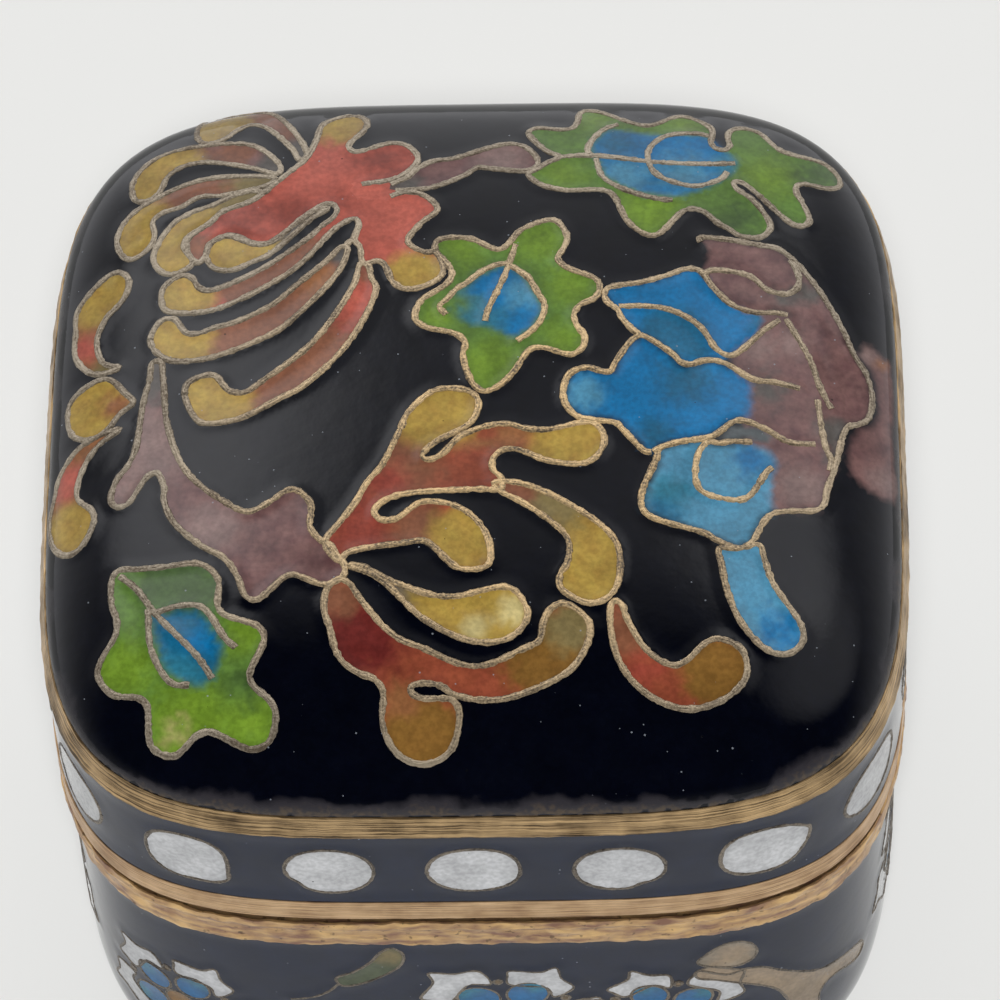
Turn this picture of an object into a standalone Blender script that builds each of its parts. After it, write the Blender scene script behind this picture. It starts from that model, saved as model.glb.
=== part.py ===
"""A small square trinket box of enamelled copper with brass edges, its lift-off lid in place.

Units are metres, +Z is up. The origin is the centre of the foot ring's underside and the
front faces -Y. Both halves share one kind of plan: a square whose sides bow out a little
and whose corners are well rounded.
"""

import math

import bmesh
import bpy

MM = 0.001

# Plan of the two halves: centre to side, and how square (2 is a circle, higher is squarer)
LID_HALF_WIDTH = 25.0 * MM
LID_SQUARENESS = 4.17
BASE_HALF_WIDTH = 24.8 * MM
BASE_SQUARENESS = 4.24
PLAN_POINTS = 64

# Walls: copper sheet with enamel on both faces
WALL = 1.8 * MM
GAP = 0.3 * MM  # between neighbouring pieces

# Heights above the surface the box stands on
SEAM = 25.0 * MM  # where the lid meets the base
FOOT_HEIGHT = 1.2 * MM

# Base
BASE_RIM_HEIGHT = 3.2 * MM
BASE_SIDE_INSET = 0.25 * MM  # the enamelled side lies this far inside the brass band
BASE_TURN_IN = 12.0 * MM  # the side starts to curve in this far below the seam
BASE_CURVE_INSET = 3.5 * MM
BASE_CURVE_POWER = 3.5
BASE_CURVE_STEPS = 6
FOOT_INSET = 1.0 * MM  # foot ring's outer face inside the flat underside's edge
FOOT_THICKNESS = 1.3 * MM

# Collar inside the mouth of the base, which centres the lid
LIP_THICKNESS = 0.7 * MM
LIP_DEPTH = 6.0 * MM  # below the seam
LIP_RISE = 3.0 * MM  # above the seam

# Lid
LID_RIM_HEIGHT = 1.9 * MM
SHOULDER_HEIGHT = 9.46 * MM  # above the seam, underside of the shoulder band
SHOULDER_RIM_HEIGHT = 1.42 * MM
SHOULDER_SCALE = 0.985  # plan at the shoulder band's top edge
SHOULDER_RIM_THICKNESS = 0.5 * MM
DOME_HEIGHT = 4.5 * MM
DOME_POWER = 2.8  # higher is flatter on top and steeper at the shoulder
DOME_STEPS = 8

EDGE_ROUND = 0.2 * MM

BRASS = ("brass", (0.55, 0.38, 0.19, 1.0), 0.38, 1.0)
DARK_ENAMEL = ("dark_enamel", (0.006, 0.008, 0.02, 1.0), 0.08, 0.0)


def signed_power(value, power):
    """value to the power, keeping its sign."""
    return math.copysign(abs(value) ** power, value)


def plan_outline(half_width, squareness, count=PLAN_POINTS):
    """Points (x, y) of the rounded square, anticlockwise."""
    points = []
    for step in range(count):
        turn = 2.0 * math.pi * step / count
        x = half_width * signed_power(math.cos(turn), 2.0 / squareness)
        y = half_width * signed_power(math.sin(turn), 2.0 / squareness)
        points.append((x, y))
    return points


def collection_named(name):
    """A new collection under the scene's own."""
    made = bpy.data.collections.new(name)
    bpy.context.scene.collection.children.link(made)
    return made


def finish_named(name, colour, roughness, metallic):
    """The material of one finish, made once."""
    found = bpy.data.materials.get(name)
    if found:
        return found
    material = bpy.data.materials.new(name)
    material.use_nodes = True
    shader = material.node_tree.nodes["Principled BSDF"]
    shader.inputs["Base Color"].default_value = colour
    shader.inputs["Roughness"].default_value = roughness
    shader.inputs["Metallic"].default_value = metallic
    return material


def object_from(shape, name, collection):
    """Turns a bmesh into a smooth-shaded object of the collection."""
    mesh = bpy.data.meshes.new(name)
    shape.to_mesh(mesh)
    shape.free()
    mesh.shade_smooth()
    mesh.set_sharp_from_angle(angle=math.radians(35.0))
    made = bpy.data.objects.new(name, mesh)
    collection.objects.link(made)
    return made


def pulled_surface(half_width, squareness, steps):
    """An open surface pulled from one plan outline through (height, scale) steps.

    Returns the shape and the edges of its last ring.
    """
    shape = bmesh.new()
    first_height, first_scale = steps[0]
    before = first_scale
    ring = []
    for x, y in plan_outline(half_width, squareness):
        ring.append(shape.verts.new((x * first_scale, y * first_scale, first_height)))
    edges = [shape.edges.new((ring[i - 1], ring[i])) for i in range(len(ring))]
    for height, scale in steps[1:]:
        pulled = bmesh.ops.extrude_edge_only(shape, edges=edges)["geom"]
        corners = [part for part in pulled if isinstance(part, bmesh.types.BMVert)]
        edges = [part for part in pulled if isinstance(part, bmesh.types.BMEdge)
                 and all(corner in corners for corner in part.verts)]
        change = scale / before
        before = scale
        for corner in corners:
            corner.co = (corner.co.x * change, corner.co.y * change, height)
    return shape, edges


def closed_off(shape, edges):
    """Closes the last ring of a pulled surface with one face."""
    bmesh.ops.edgeloop_fill(shape, edges=edges)
    bmesh.ops.recalc_face_normals(shape, faces=shape.faces)


def add_wall(made, thickness):
    """Gives an open surface its wall, on the inner side."""
    wall = made.modifiers.new("wall", "SOLIDIFY")
    wall.thickness = thickness
    wall.offset = -1.0
    wall.use_even_offset = True
    wall.use_rim = True


def add_round(made, width=EDGE_ROUND):
    """Rounds the sharp edges of a band."""
    rounding = made.modifiers.new("rounded edges", "BEVEL")
    rounding.width = width
    rounding.segments = 1
    rounding.limit_method = "ANGLE"
    rounding.angle_limit = math.radians(50.0)


def band(name, collection, half_width, squareness, low, high, thickness, top_scale=1.0):
    """A strip of metal bent round the plan and soldered into a ring, low to high."""
    steps = [(low, 1.0), (high, top_scale)]
    shape, _ = pulled_surface(half_width, squareness, steps)
    bmesh.ops.recalc_face_normals(shape, faces=shape.faces)
    if shape.faces[0].normal.dot(shape.faces[0].calc_center_median()) < 0.0:
        bmesh.ops.reverse_faces(shape, faces=shape.faces)
    made = object_from(shape, name, collection)
    add_wall(made, thickness)
    return made


def dress(made, finish):
    """Gives a piece its own copy of a finish."""
    material = finish_named(*finish).copy()
    material.name = made.name + "_" + finish[0]
    made.data.materials.append(material)


def base_steps():
    """The base's side, from its mouth down to the edge of the flat underside."""
    side = BASE_HALF_WIDTH - BASE_SIDE_INSET
    turn_in = SEAM - BASE_TURN_IN
    steps = [(SEAM - BASE_RIM_HEIGHT - GAP, 1.0), (turn_in, 1.0)]
    for step in range(1, BASE_CURVE_STEPS + 1):
        fall = math.sin(0.5 * math.pi * step / BASE_CURVE_STEPS)
        inset = 1.0 - (1.0 - fall ** BASE_CURVE_POWER) ** (1.0 / BASE_CURVE_POWER)
        height = turn_in - (turn_in - FOOT_HEIGHT - GAP) * fall
        steps.append((height, 1.0 - inset * BASE_CURVE_INSET / side))
    return side, steps


def make_base_shell(collection):
    """The hollow, open-topped body of the base."""
    side, steps = base_steps()
    shape, edges = pulled_surface(side, BASE_SQUARENESS, steps)
    closed_off(shape, edges)
    made = object_from(shape, "base_shell", collection)
    add_wall(made, WALL)
    dress(made, DARK_ENAMEL)
    return made


def make_base_rim(collection):
    """The brass band round the base's mouth."""
    made = band("base_rim", collection, BASE_HALF_WIDTH, BASE_SQUARENESS,
                SEAM - BASE_RIM_HEIGHT, SEAM - 0.5 * GAP, WALL + BASE_SIDE_INSET)
    add_round(made)
    dress(made, BRASS)
    return made


def make_base_locating_lip(collection):
    """The thin collar that stands up inside the lid."""
    outer = BASE_HALF_WIDTH - BASE_SIDE_INSET - WALL - GAP
    made = band("base_locating_lip", collection, outer, BASE_SQUARENESS,
                SEAM - LIP_DEPTH, SEAM + LIP_RISE, LIP_THICKNESS)
    dress(made, BRASS)
    return made


def make_base_foot_rim(collection):
    """The brass ring that the box stands on."""
    outer = BASE_HALF_WIDTH - BASE_SIDE_INSET - BASE_CURVE_INSET - FOOT_INSET
    made = band("base_foot_rim", collection, outer, BASE_SQUARENESS,
                0.0, FOOT_HEIGHT, FOOT_THICKNESS)
    dress(made, BRASS)
    return made


def lid_steps():
    """The lid's outside, from its open edge up over the dome to the last ring."""
    side_top = SEAM + SHOULDER_HEIGHT
    dome_foot = side_top + SHOULDER_RIM_HEIGHT
    steps = [(SEAM + LID_RIM_HEIGHT + GAP, 1.0), (side_top, 1.0), (dome_foot, SHOULDER_SCALE)]
    for step in range(1, DOME_STEPS):
        lean = 0.5 * math.pi * step / DOME_STEPS
        height = dome_foot + DOME_HEIGHT * math.sin(lean)
        steps.append((height, SHOULDER_SCALE * math.cos(lean) ** (2.0 / DOME_POWER)))
    return steps


def make_lid_shell(collection, cutters):
    """The domed cover and its side, one sheet, grooved for the shoulder band."""
    steps = lid_steps()
    shape, edges = pulled_surface(LID_HALF_WIDTH, LID_SQUARENESS, steps)
    cap = bmesh.ops.extrude_edge_only(shape, edges=edges)["geom"]
    crown = [part for part in cap if isinstance(part, bmesh.types.BMVert)]
    for corner in crown:
        corner.co = (0.0, 0.0, SEAM + SHOULDER_HEIGHT + SHOULDER_RIM_HEIGHT + DOME_HEIGHT)
    bmesh.ops.remove_doubles(shape, verts=crown, dist=0.01 * MM)
    bmesh.ops.recalc_face_normals(shape, faces=shape.faces)
    made = object_from(shape, "lid_shell", collection)
    add_wall(made, WALL)
    dress(made, DARK_ENAMEL)
    groove = made.modifiers.new("groove for the shoulder band", "BOOLEAN")
    groove.operation = "DIFFERENCE"
    groove.solver = "EXACT"
    groove.object = make_shoulder_groove(cutters)
    return made


def make_shoulder_groove(cutters):
    """The ring-shaped cutter of the shoulder band's groove, wider than the wall's face."""
    clear = 1.0 * MM
    low = SEAM + SHOULDER_HEIGHT - GAP
    high = SEAM + SHOULDER_HEIGHT + SHOULDER_RIM_HEIGHT + GAP
    lean = LID_HALF_WIDTH * (1.0 - SHOULDER_SCALE)
    depth = SHOULDER_RIM_THICKNESS + lean + GAP
    cutter = band("shoulder_groove", cutters, LID_HALF_WIDTH + clear, LID_SQUARENESS,
                  low, high, depth + clear)
    cutter.hide_render = True
    cutter.display_type = "WIRE"
    return cutter


def make_lid_shoulder_rim(collection):
    """The brass band between the dome and the lid's side."""
    low = SEAM + SHOULDER_HEIGHT
    made = band("lid_shoulder_rim", collection, LID_HALF_WIDTH, LID_SQUARENESS,
                low, low + SHOULDER_RIM_HEIGHT, SHOULDER_RIM_THICKNESS, SHOULDER_SCALE)
    add_round(made)
    dress(made, BRASS)
    return made


def make_lid_lower_rim(collection):
    """The brass band round the lid's open edge."""
    made = band("lid_lower_rim", collection, LID_HALF_WIDTH, LID_SQUARENESS,
                SEAM + 0.5 * GAP, SEAM + LID_RIM_HEIGHT, WALL)
    add_round(made)
    dress(made, BRASS)
    return made


def main():
    """Clears the scene and builds the box."""
    for old in list(bpy.data.objects):
        bpy.data.objects.remove(old, do_unlink=True)
    box = collection_named("cloisonne_box")
    cutters = collection_named("cutters")
    cutters.hide_render = True
    make_base_shell(box)
    make_base_rim(box)
    make_base_locating_lip(box)
    make_base_foot_rim(box)
    make_lid_shell(box, cutters)
    make_lid_shoulder_rim(box)
    make_lid_lower_rim(box)


main()
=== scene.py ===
"""Looks of a small cloisonne enamel box: a domed lid over a deep base, enamelled copper edged in brass.

Lengths are in millimetres until a mesh is made, and heights are above the table that the box stands on.
"""

import itertools
import logging
import math
from dataclasses import dataclass, field
from enum import Enum

import bmesh
import bpy
import numpy as np
from bpy.types import ID, Material, Mesh, Node, NodeSocket, NodeTree, Object
from mathutils import Matrix, Vector, noise
from mathutils.geometry import delaunay_2d_cdt
from mathutils.kdtree import KDTree


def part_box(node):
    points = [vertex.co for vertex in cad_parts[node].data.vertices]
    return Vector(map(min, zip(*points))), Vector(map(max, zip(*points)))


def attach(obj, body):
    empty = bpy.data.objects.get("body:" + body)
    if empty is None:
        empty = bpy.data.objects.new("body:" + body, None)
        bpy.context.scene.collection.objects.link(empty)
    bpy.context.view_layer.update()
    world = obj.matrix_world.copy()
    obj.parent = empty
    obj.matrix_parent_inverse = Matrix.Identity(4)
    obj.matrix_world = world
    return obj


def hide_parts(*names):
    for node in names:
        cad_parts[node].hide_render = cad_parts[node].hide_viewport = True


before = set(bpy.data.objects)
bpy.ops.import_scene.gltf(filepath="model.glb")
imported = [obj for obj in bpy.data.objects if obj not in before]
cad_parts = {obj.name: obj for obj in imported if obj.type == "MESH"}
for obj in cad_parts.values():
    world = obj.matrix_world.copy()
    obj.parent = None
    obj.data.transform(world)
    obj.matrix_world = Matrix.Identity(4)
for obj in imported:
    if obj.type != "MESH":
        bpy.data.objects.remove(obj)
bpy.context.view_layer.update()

MM = 0.001
BODY = "root"
FAR = 3.0  # a gap at which a wire or an edge no longer matters
Array = np.ndarray
Point = tuple[float, float]
Triple = tuple[float, float, float]
Points = tuple[Point, ...]


def linear(colour: str) -> Triple:
    """Turns an sRGB hex colour to linear light.

    Args:
        colour: the colour as "#rrggbb".

    Returns:
        Red, green and blue from 0 to 1.
    """
    parts = [int(colour[i:i + 2], 16) / 255 for i in (1, 3, 5)]
    return tuple(p / 12.92 if p <= 0.04045 else ((p + 0.055) / 1.055) ** 2.4 for p in parts)


def smoothstep(value: Array) -> Array:
    """Eases values from 0 to 1, held level outside that range."""
    held = np.clip(value, 0, 1)
    return held * held * (3 - 2 * held)


def noise_at(points: Array, size: float, seed: float) -> Array:
    """Smooth noise from -1 to 1.

    Args:
        points: rows of two coordinates.
        size: width of one lump, in the points' unit.
        seed: picks the pattern.

    Returns:
        One value for each point.
    """
    return np.array([noise.noise((x, y, seed)) for x, y in (points / size).tolist()])


def measured(points: Array) -> Array:
    """Distances along a line from its first point to each of its points."""
    return np.r_[0, np.cumsum(np.hypot(*np.diff(points, axis=0).T))]


def put(name: str, data: ID) -> Object:
    """Puts an object in the scene, at the origin.

    Args:
        name: its name.
        data: its mesh, light or lens.

    Returns:
        The object.
    """
    made = bpy.data.objects.new(name, data)
    bpy.context.scene.collection.objects.link(made)
    return made


# ---------- glazes


class Tone(Enum):
    """The enamel colours, each with the colour of the grains fired into it and their share."""

    GROUND = ("#010209", "#04060f", 0.5)
    NIGHT = ("#08142c", "#080f20", 0.5)
    CORAL = ("#ac5546", "#873c30", 0.5)
    BRICK = ("#87452f", "#6c3024", 0.6)
    PINK = ("#b35c4d", "#9a483b", 0.4)
    BLOOD = ("#652622", "#4a1917", 0.6)
    RED = ("#8f4234", "#6d2c23", 0.5)
    RUST = ("#7f513a", "#643c2c", 0.5)
    UMBER = ("#6a5942", "#564735", 0.4)
    ORANGE = ("#885a38", "#72482b", 0.4)
    AMBER = ("#785728", "#62421f", 0.5)
    YELLOW = ("#a38a40", "#86602b", 0.55)
    CREAM = ("#bbac78", "#a39359", 0.4)
    OLIVE = ("#776944", "#615434", 0.4)
    SMOKE = ("#57524e", "#443f3c", 0.5)
    SLATE = ("#4f5557", "#42474a", 0.5)
    GREEN = ("#587732", "#3b5620", 0.6)
    LIME = ("#6b882a", "#47621a", 0.6)
    PINE = ("#41582e", "#334723", 0.5)
    BLUE = ("#046699", "#045685", 0.4)
    NAVY = ("#135c7e", "#0f4c6b", 0.4)
    SKY = ("#46829f", "#386f8d", 0.4)
    TEAL = ("#2b7188", "#235f74", 0.4)
    MAUVE = ("#755652", "#4b3033", 0.85)
    LILAC = ("#836c67", "#614a49", 0.65)
    WHITE = ("#b6b7b9", "#adaeb1", 0.5)
    DENIM = ("#205c8a", "#1a4d76", 0.4)
    TAN = ("#8b7a66", "#76664f", 0.5)
    STONE = ("#857c6e", "#716a5d", 0.5)
    MOSS = ("#4a523c", "#3b4230", 0.5)

    def shade(self, speckle: Array | float) -> Array:
        """The glaze's colour in linear light.

        Args:
            speckle: how strong its grains are at each point, from 0 to 1.

        Returns:
            Red, green and blue for each point.
        """
        body, grains, most = self.value
        share = (np.asarray(speckle) * most)[..., None]
        return np.array(linear(body)) * (1 - share) + np.array(linear(grains)) * share


@dataclass(frozen=True)
class Drop:
    """A round pool of a second glaze laid into a cell before firing, which fades into the first."""

    x: float
    y: float
    radius: float
    tone: Tone
    soft: float = 1.0


class Edge(Enum):
    """How much of a cell's outline is a wire."""

    CLOSED = "wired all round"
    OPEN = "wired except from the last point to the first"
    BARE = "no wire of its own"


@dataclass(frozen=True)
class Cell:
    """One field of enamel: an outline in the surface's own flat coordinates and what fills it."""

    tone: Tone
    outline: Points
    drops: tuple[Drop, ...]
    edge: Edge
    soft: float


@dataclass
class Picture:
    """One enamel picture: its cells, and the loose wires that end inside it, in the order they are laid."""

    cells: list[Cell] = field(default_factory=list)
    strands: list[Points] = field(default_factory=list)

    def cell(
        self, tone: Tone, outline: Points, *drops: Drop, edge: Edge = Edge.CLOSED, soft: float = 0.0
    ) -> None:
        """Adds a cell. A soft one fades into what it lies on, over that width."""
        self.cells.append(Cell(tone, outline, drops, edge, soft))

    def strand(self, *points: Point) -> None:
        """Adds a loose wire, such as a leaf's vein."""
        self.strands.append(points)


def smooth_path(points: Points, closed: bool, step: float) -> Array:
    """A smooth curve through a few points, as a wire bent by hand takes, at even spacing.

    Args:
        points: the points that it passes through.
        closed: whether it returns to the first.
        step: spacing of the points returned.

    Returns:
        Rows of two coordinates. A closed path doesn't repeat its first point.
    """
    given = np.array(points, float)
    if closed:
        ring = np.vstack([given[-1:], given, given[:2]])
    else:
        ring = np.vstack([2 * given[0] - given[1], given, 2 * given[-1] - given[-2]])
    runs = []
    for near in zip(ring, ring[1:], ring[2:], ring[3:]):
        knots = [0.0]
        for a, b in zip(near, near[1:]):
            knots.append(knots[-1] + math.sqrt(max(np.hypot(*(b - a)), 1e-6)))
        t0, t1, t2, t3 = knots
        count = max(3, int(np.hypot(*(near[2] - near[1])) / step * 3))
        t = np.linspace(t1, t2, count, endpoint=False)[:, None]
        # Each round blends neighbours, until one curve from the second point to the third is left.
        for spans in (((t0, t1), (t1, t2), (t2, t3)), ((t0, t2), (t1, t3)), ((t1, t2),)):
            near = [((b - t) * p + (t - a) * q) / (b - a) for (a, b), p, q in zip(spans, near, near[1:])]
        runs += near
    fine = np.vstack([*runs, given[:1] if closed else given[-1:]])
    length = measured(fine)
    count = max(4, round(length[-1] / step))
    marks = np.linspace(0, length[-1], count + 1)
    even = np.column_stack([np.interp(marks, length, fine[:, k]) for k in (0, 1)])
    return even[:-1] if closed else even


def inside(points: Array, outline: Array) -> Array:
    """Which points lie inside a closed outline.

    Args:
        points: rows of two coordinates.
        outline: the outline's corners in order.

    Returns:
        A truth value for each point.
    """
    found = np.zeros(len(points), bool)
    x, y = points.T
    for (ax, ay), (bx, by) in zip(outline, np.roll(outline, -1, axis=0)):
        if ay == by:
            continue
        crosses = (ay > y) != (by > y)
        found ^= crosses & (x < (bx - ax) * (y - ay) / (by - ay) + ax)
    return found


def nearest(points: Array, targets: Array, most: float) -> Array:
    """How far points are from the nearest target.

    Args:
        points: rows of two coordinates.
        targets: rows of two coordinates.
        most: the largest distance to give back.

    Returns:
        One distance for each point.
    """
    tree = KDTree(len(targets))
    for index, (x, y) in enumerate(targets.tolist()):
        tree.insert((x, y, 0), index)
    tree.balance()
    return np.array([min(tree.find((x, y, 0))[2], most) for x, y in points.tolist()])


# ---------- surfaces


@dataclass(frozen=True)
class Plan:
    """The box's rounded-square plan, a superellipse, with its length measured round it.

    A place round it goes from -0.5 to 0.5: 0 is the middle of the front and 0.25 that of the right side.
    """

    power: float
    steps: int = 4000

    def table(self) -> tuple[Array, Array]:
        """Measures the plan.

        Returns:
            Places round it, and its points at half-width 1.
        """
        turn = np.linspace(-math.pi, math.pi, self.steps + 1)
        sine, cosine = np.sin(turn), np.cos(turn)
        x = np.sign(sine) * np.abs(sine) ** (2 / self.power)
        y = -np.sign(cosine) * np.abs(cosine) ** (2 / self.power)
        x[[0, -1]] = 0
        points = np.column_stack([x, y])
        along = measured(points)
        return along / along[-1] - 0.5, points

    def length(self) -> float:
        """Length round the plan at half-width 1."""
        return float(np.hypot(*np.diff(self.table()[1], axis=0).T).sum())

    def at(self, place: Array) -> Array:
        """Points of the plan at half-width 1.

        Args:
            place: places round it.

        Returns:
            Rows of two coordinates.
        """
        places, points = self.table()
        wrapped = (np.asarray(place) + 0.5) % 1 - 0.5
        return np.column_stack([np.interp(wrapped, places, points[:, k]) for k in (0, 1)])

    def outward(self, place: Array) -> Array:
        """The plan's outward directions.

        Args:
            place: places round it.

        Returns:
            Rows of unit directions.
        """
        nudge = 0.002
        along = self.at(place + nudge) - self.at(place - nudge)
        turned = np.column_stack([along[:, 1], -along[:, 0]])
        return turned / np.linalg.norm(turned, axis=1, keepdims=True)


@dataclass
class Surface:
    """A face of the box that enamel is laid on."""

    plan: Plan
    half_width: float

    def lift(self, flat: Array, height: Array | float) -> Array:
        """Points in space, a height out of the surface.

        Args:
            flat: rows of the surface's flat coordinates.
            height: distance out of the surface, one or one for each point.

        Returns:
            Rows of three coordinates.
        """
        return self.bare(flat) + self.normal(flat) * np.reshape(np.broadcast_to(height, len(flat)), (-1, 1))


@dataclass
class Dome(Surface):
    """The lid's domed top. Its flat coordinates are the plan's x and y."""

    foot: float
    rise: float
    roundness: float
    rings: int = 400
    reach: Array = field(init=False)
    spread: Array = field(init=False)

    def __post_init__(self) -> None:
        """Measures the sheet, the dome rolled flat along its radii."""
        # The last steps crowd towards the foot, where the dome turns down steeply.
        self.reach = np.sin(np.linspace(0, math.pi / 2, self.rings + 1))
        height = self.rise * np.sqrt(1 - np.minimum(self.reach**self.roundness, 1))
        self.spread = np.r_[0, np.cumsum(np.hypot(np.diff(self.reach) * self.half_width, np.diff(height)))]

    def share(self, flat: Array) -> Array:
        """How far out points lie, from 0 at the middle to 1 at the foot."""
        scaled = np.abs(flat) / self.half_width
        return (scaled**self.plan.power).sum(axis=1) ** (1 / self.plan.power)

    def sheet(self, flat: Array) -> Array:
        """Flat coordinates to the sheet's."""
        share = np.maximum(self.share(flat), 1e-9)
        return flat * (np.interp(share, self.reach, self.spread) / (share * self.half_width))[:, None]

    def unsheet(self, sheet: Array) -> Array:
        """Turns the sheet's coordinates back.

        Args:
            sheet: rows of the sheet's coordinates.

        Returns:
            Rows of flat coordinates.
        """
        spread = np.maximum(self.share(sheet) * self.half_width, 1e-9)
        share = np.interp(spread, self.spread, self.reach)
        return sheet * (share * self.half_width / spread)[:, None]

    def normal(self, flat: Array) -> Array:
        """Which way the dome faces.

        Args:
            flat: rows of flat coordinates.

        Returns:
            Unit directions out of it.
        """
        share = np.clip(self.share(flat), 1e-6, 1)
        scaled = flat / self.half_width
        slope = np.sign(scaled) * np.abs(scaled) ** (self.plan.power - 1)
        slope *= (share ** (1 - self.plan.power) / self.half_width)[:, None]
        steep = self.rise * self.roundness / 2 * share ** (self.roundness - 1)
        level = np.sqrt(np.maximum(1 - share**self.roundness, 0))
        found = np.column_stack([slope * steep[:, None], level])
        return found / np.linalg.norm(found, axis=1, keepdims=True)

    def bare(self, flat: Array) -> Array:
        """Lays points on the dome.

        Args:
            flat: rows of flat coordinates.

        Returns:
            Rows of three coordinates.
        """
        share = self.share(flat)
        # The foot's own points come back from the triangulation a hair inside it.
        share[share > 1 - 2e-5] = 1
        return np.column_stack([flat, self.foot + self.rise * np.sqrt(1 - share**self.roundness)])

    def edge_gap(self, flat: Array) -> Array:
        """Distance down the dome to its foot."""
        return self.spread[-1] - np.interp(self.share(flat), self.reach, self.spread)

    border_gap = edge_gap

    def turns(self) -> tuple[float, ...]:
        """Distances along its flat coordinates at which the surface comes round to the same place."""
        return (0.0,)

    def border(self, around: int) -> Array:
        """The sheet's border, as points round the foot."""
        places = np.arange(around) / around - 0.5
        return self.sheet(self.plan.at(places) * self.half_width)


@dataclass
class Side(Surface):
    """An upright wall of the box.

    Its flat coordinates are the way round from the middle of the front, and down the wall from its top edge.
    """

    profile: Array  # rows of (inset, height), from the top edge down
    depth: Array = field(init=False)
    around: float = field(init=False)

    def __post_init__(self) -> None:
        """Measures the wall round and down."""
        self.depth = measured(self.profile)
        self.around = self.plan.length() * self.half_width

    def sheet(self, flat: Array) -> Array:
        """The wall unrolls without stretching."""
        return flat

    unsheet = sheet

    def cut(self, down: Array) -> tuple[Array, Array]:
        """Inset and height at distances down the wall."""
        inset, level = self.profile.T
        return np.interp(down, self.depth, inset), np.interp(down, self.depth, level)

    def normal(self, flat: Array) -> Array:
        """Which way the wall faces.

        Args:
            flat: rows of flat coordinates.

        Returns:
            Unit directions out of it.
        """
        nudge = 0.15
        low_inset, low_level = self.cut(np.minimum(flat[:, 1] + nudge, self.depth[-1]))
        high_inset, high_level = self.cut(np.maximum(flat[:, 1] - nudge, 0))
        out = self.plan.outward(flat[:, 0] / self.around)
        found = np.column_stack([out * (high_level - low_level)[:, None], high_inset - low_inset])
        return found / np.linalg.norm(found, axis=1, keepdims=True)

    def bare(self, flat: Array) -> Array:
        """Lays points on the wall.

        Args:
            flat: rows of flat coordinates.

        Returns:
            Rows of three coordinates.
        """
        inset, level = self.cut(flat[:, 1])
        ring = self.plan.at(flat[:, 0] / self.around)
        return np.column_stack([ring * (self.half_width - inset)[:, None], level])

    def edge_gap(self, flat: Array) -> Array:
        """Distance to the nearer long edge."""
        return np.minimum(flat[:, 1], self.depth[-1] - flat[:, 1])

    def border_gap(self, flat: Array) -> Array:
        """Distance to the nearest edge, or to the seam at the back."""
        return np.minimum(self.edge_gap(flat), self.around / 2 - np.abs(flat[:, 0]))

    def turns(self) -> tuple[float, ...]:
        """Distances along its flat coordinates at which the surface comes round to the same place."""
        return (-self.around, 0.0, self.around)

    def border(self, around: int) -> Array:
        """The unrolled wall's border: along the top edge, down the back seam, and so round.

        Args:
            around: how many points each long edge has.

        Returns:
            Rows of two coordinates.
        """
        places = (np.arange(around + 1) / around - 0.5) * self.around
        down = np.linspace(0, self.depth[-1], max(3, round(self.depth[-1] / 0.5)))[1:-1]
        top = np.column_stack([places, np.zeros(around + 1)])
        bottom = np.column_stack([places[::-1], np.full(around + 1, self.depth[-1])])
        right = np.column_stack([np.full(len(down), places[-1]), down])
        left = np.column_stack([np.full(len(down), places[0]), down[::-1]])
        return np.vstack([top, right, bottom, left])


@dataclass
class Patch:
    """A piece of surface before it is joined to others. Its edge gap counts widths of the thin edge glaze."""

    points: Array
    faces: Array
    colours: Array
    wire_gap: Array
    edge_gap: Array
    inner: bool = False


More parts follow.
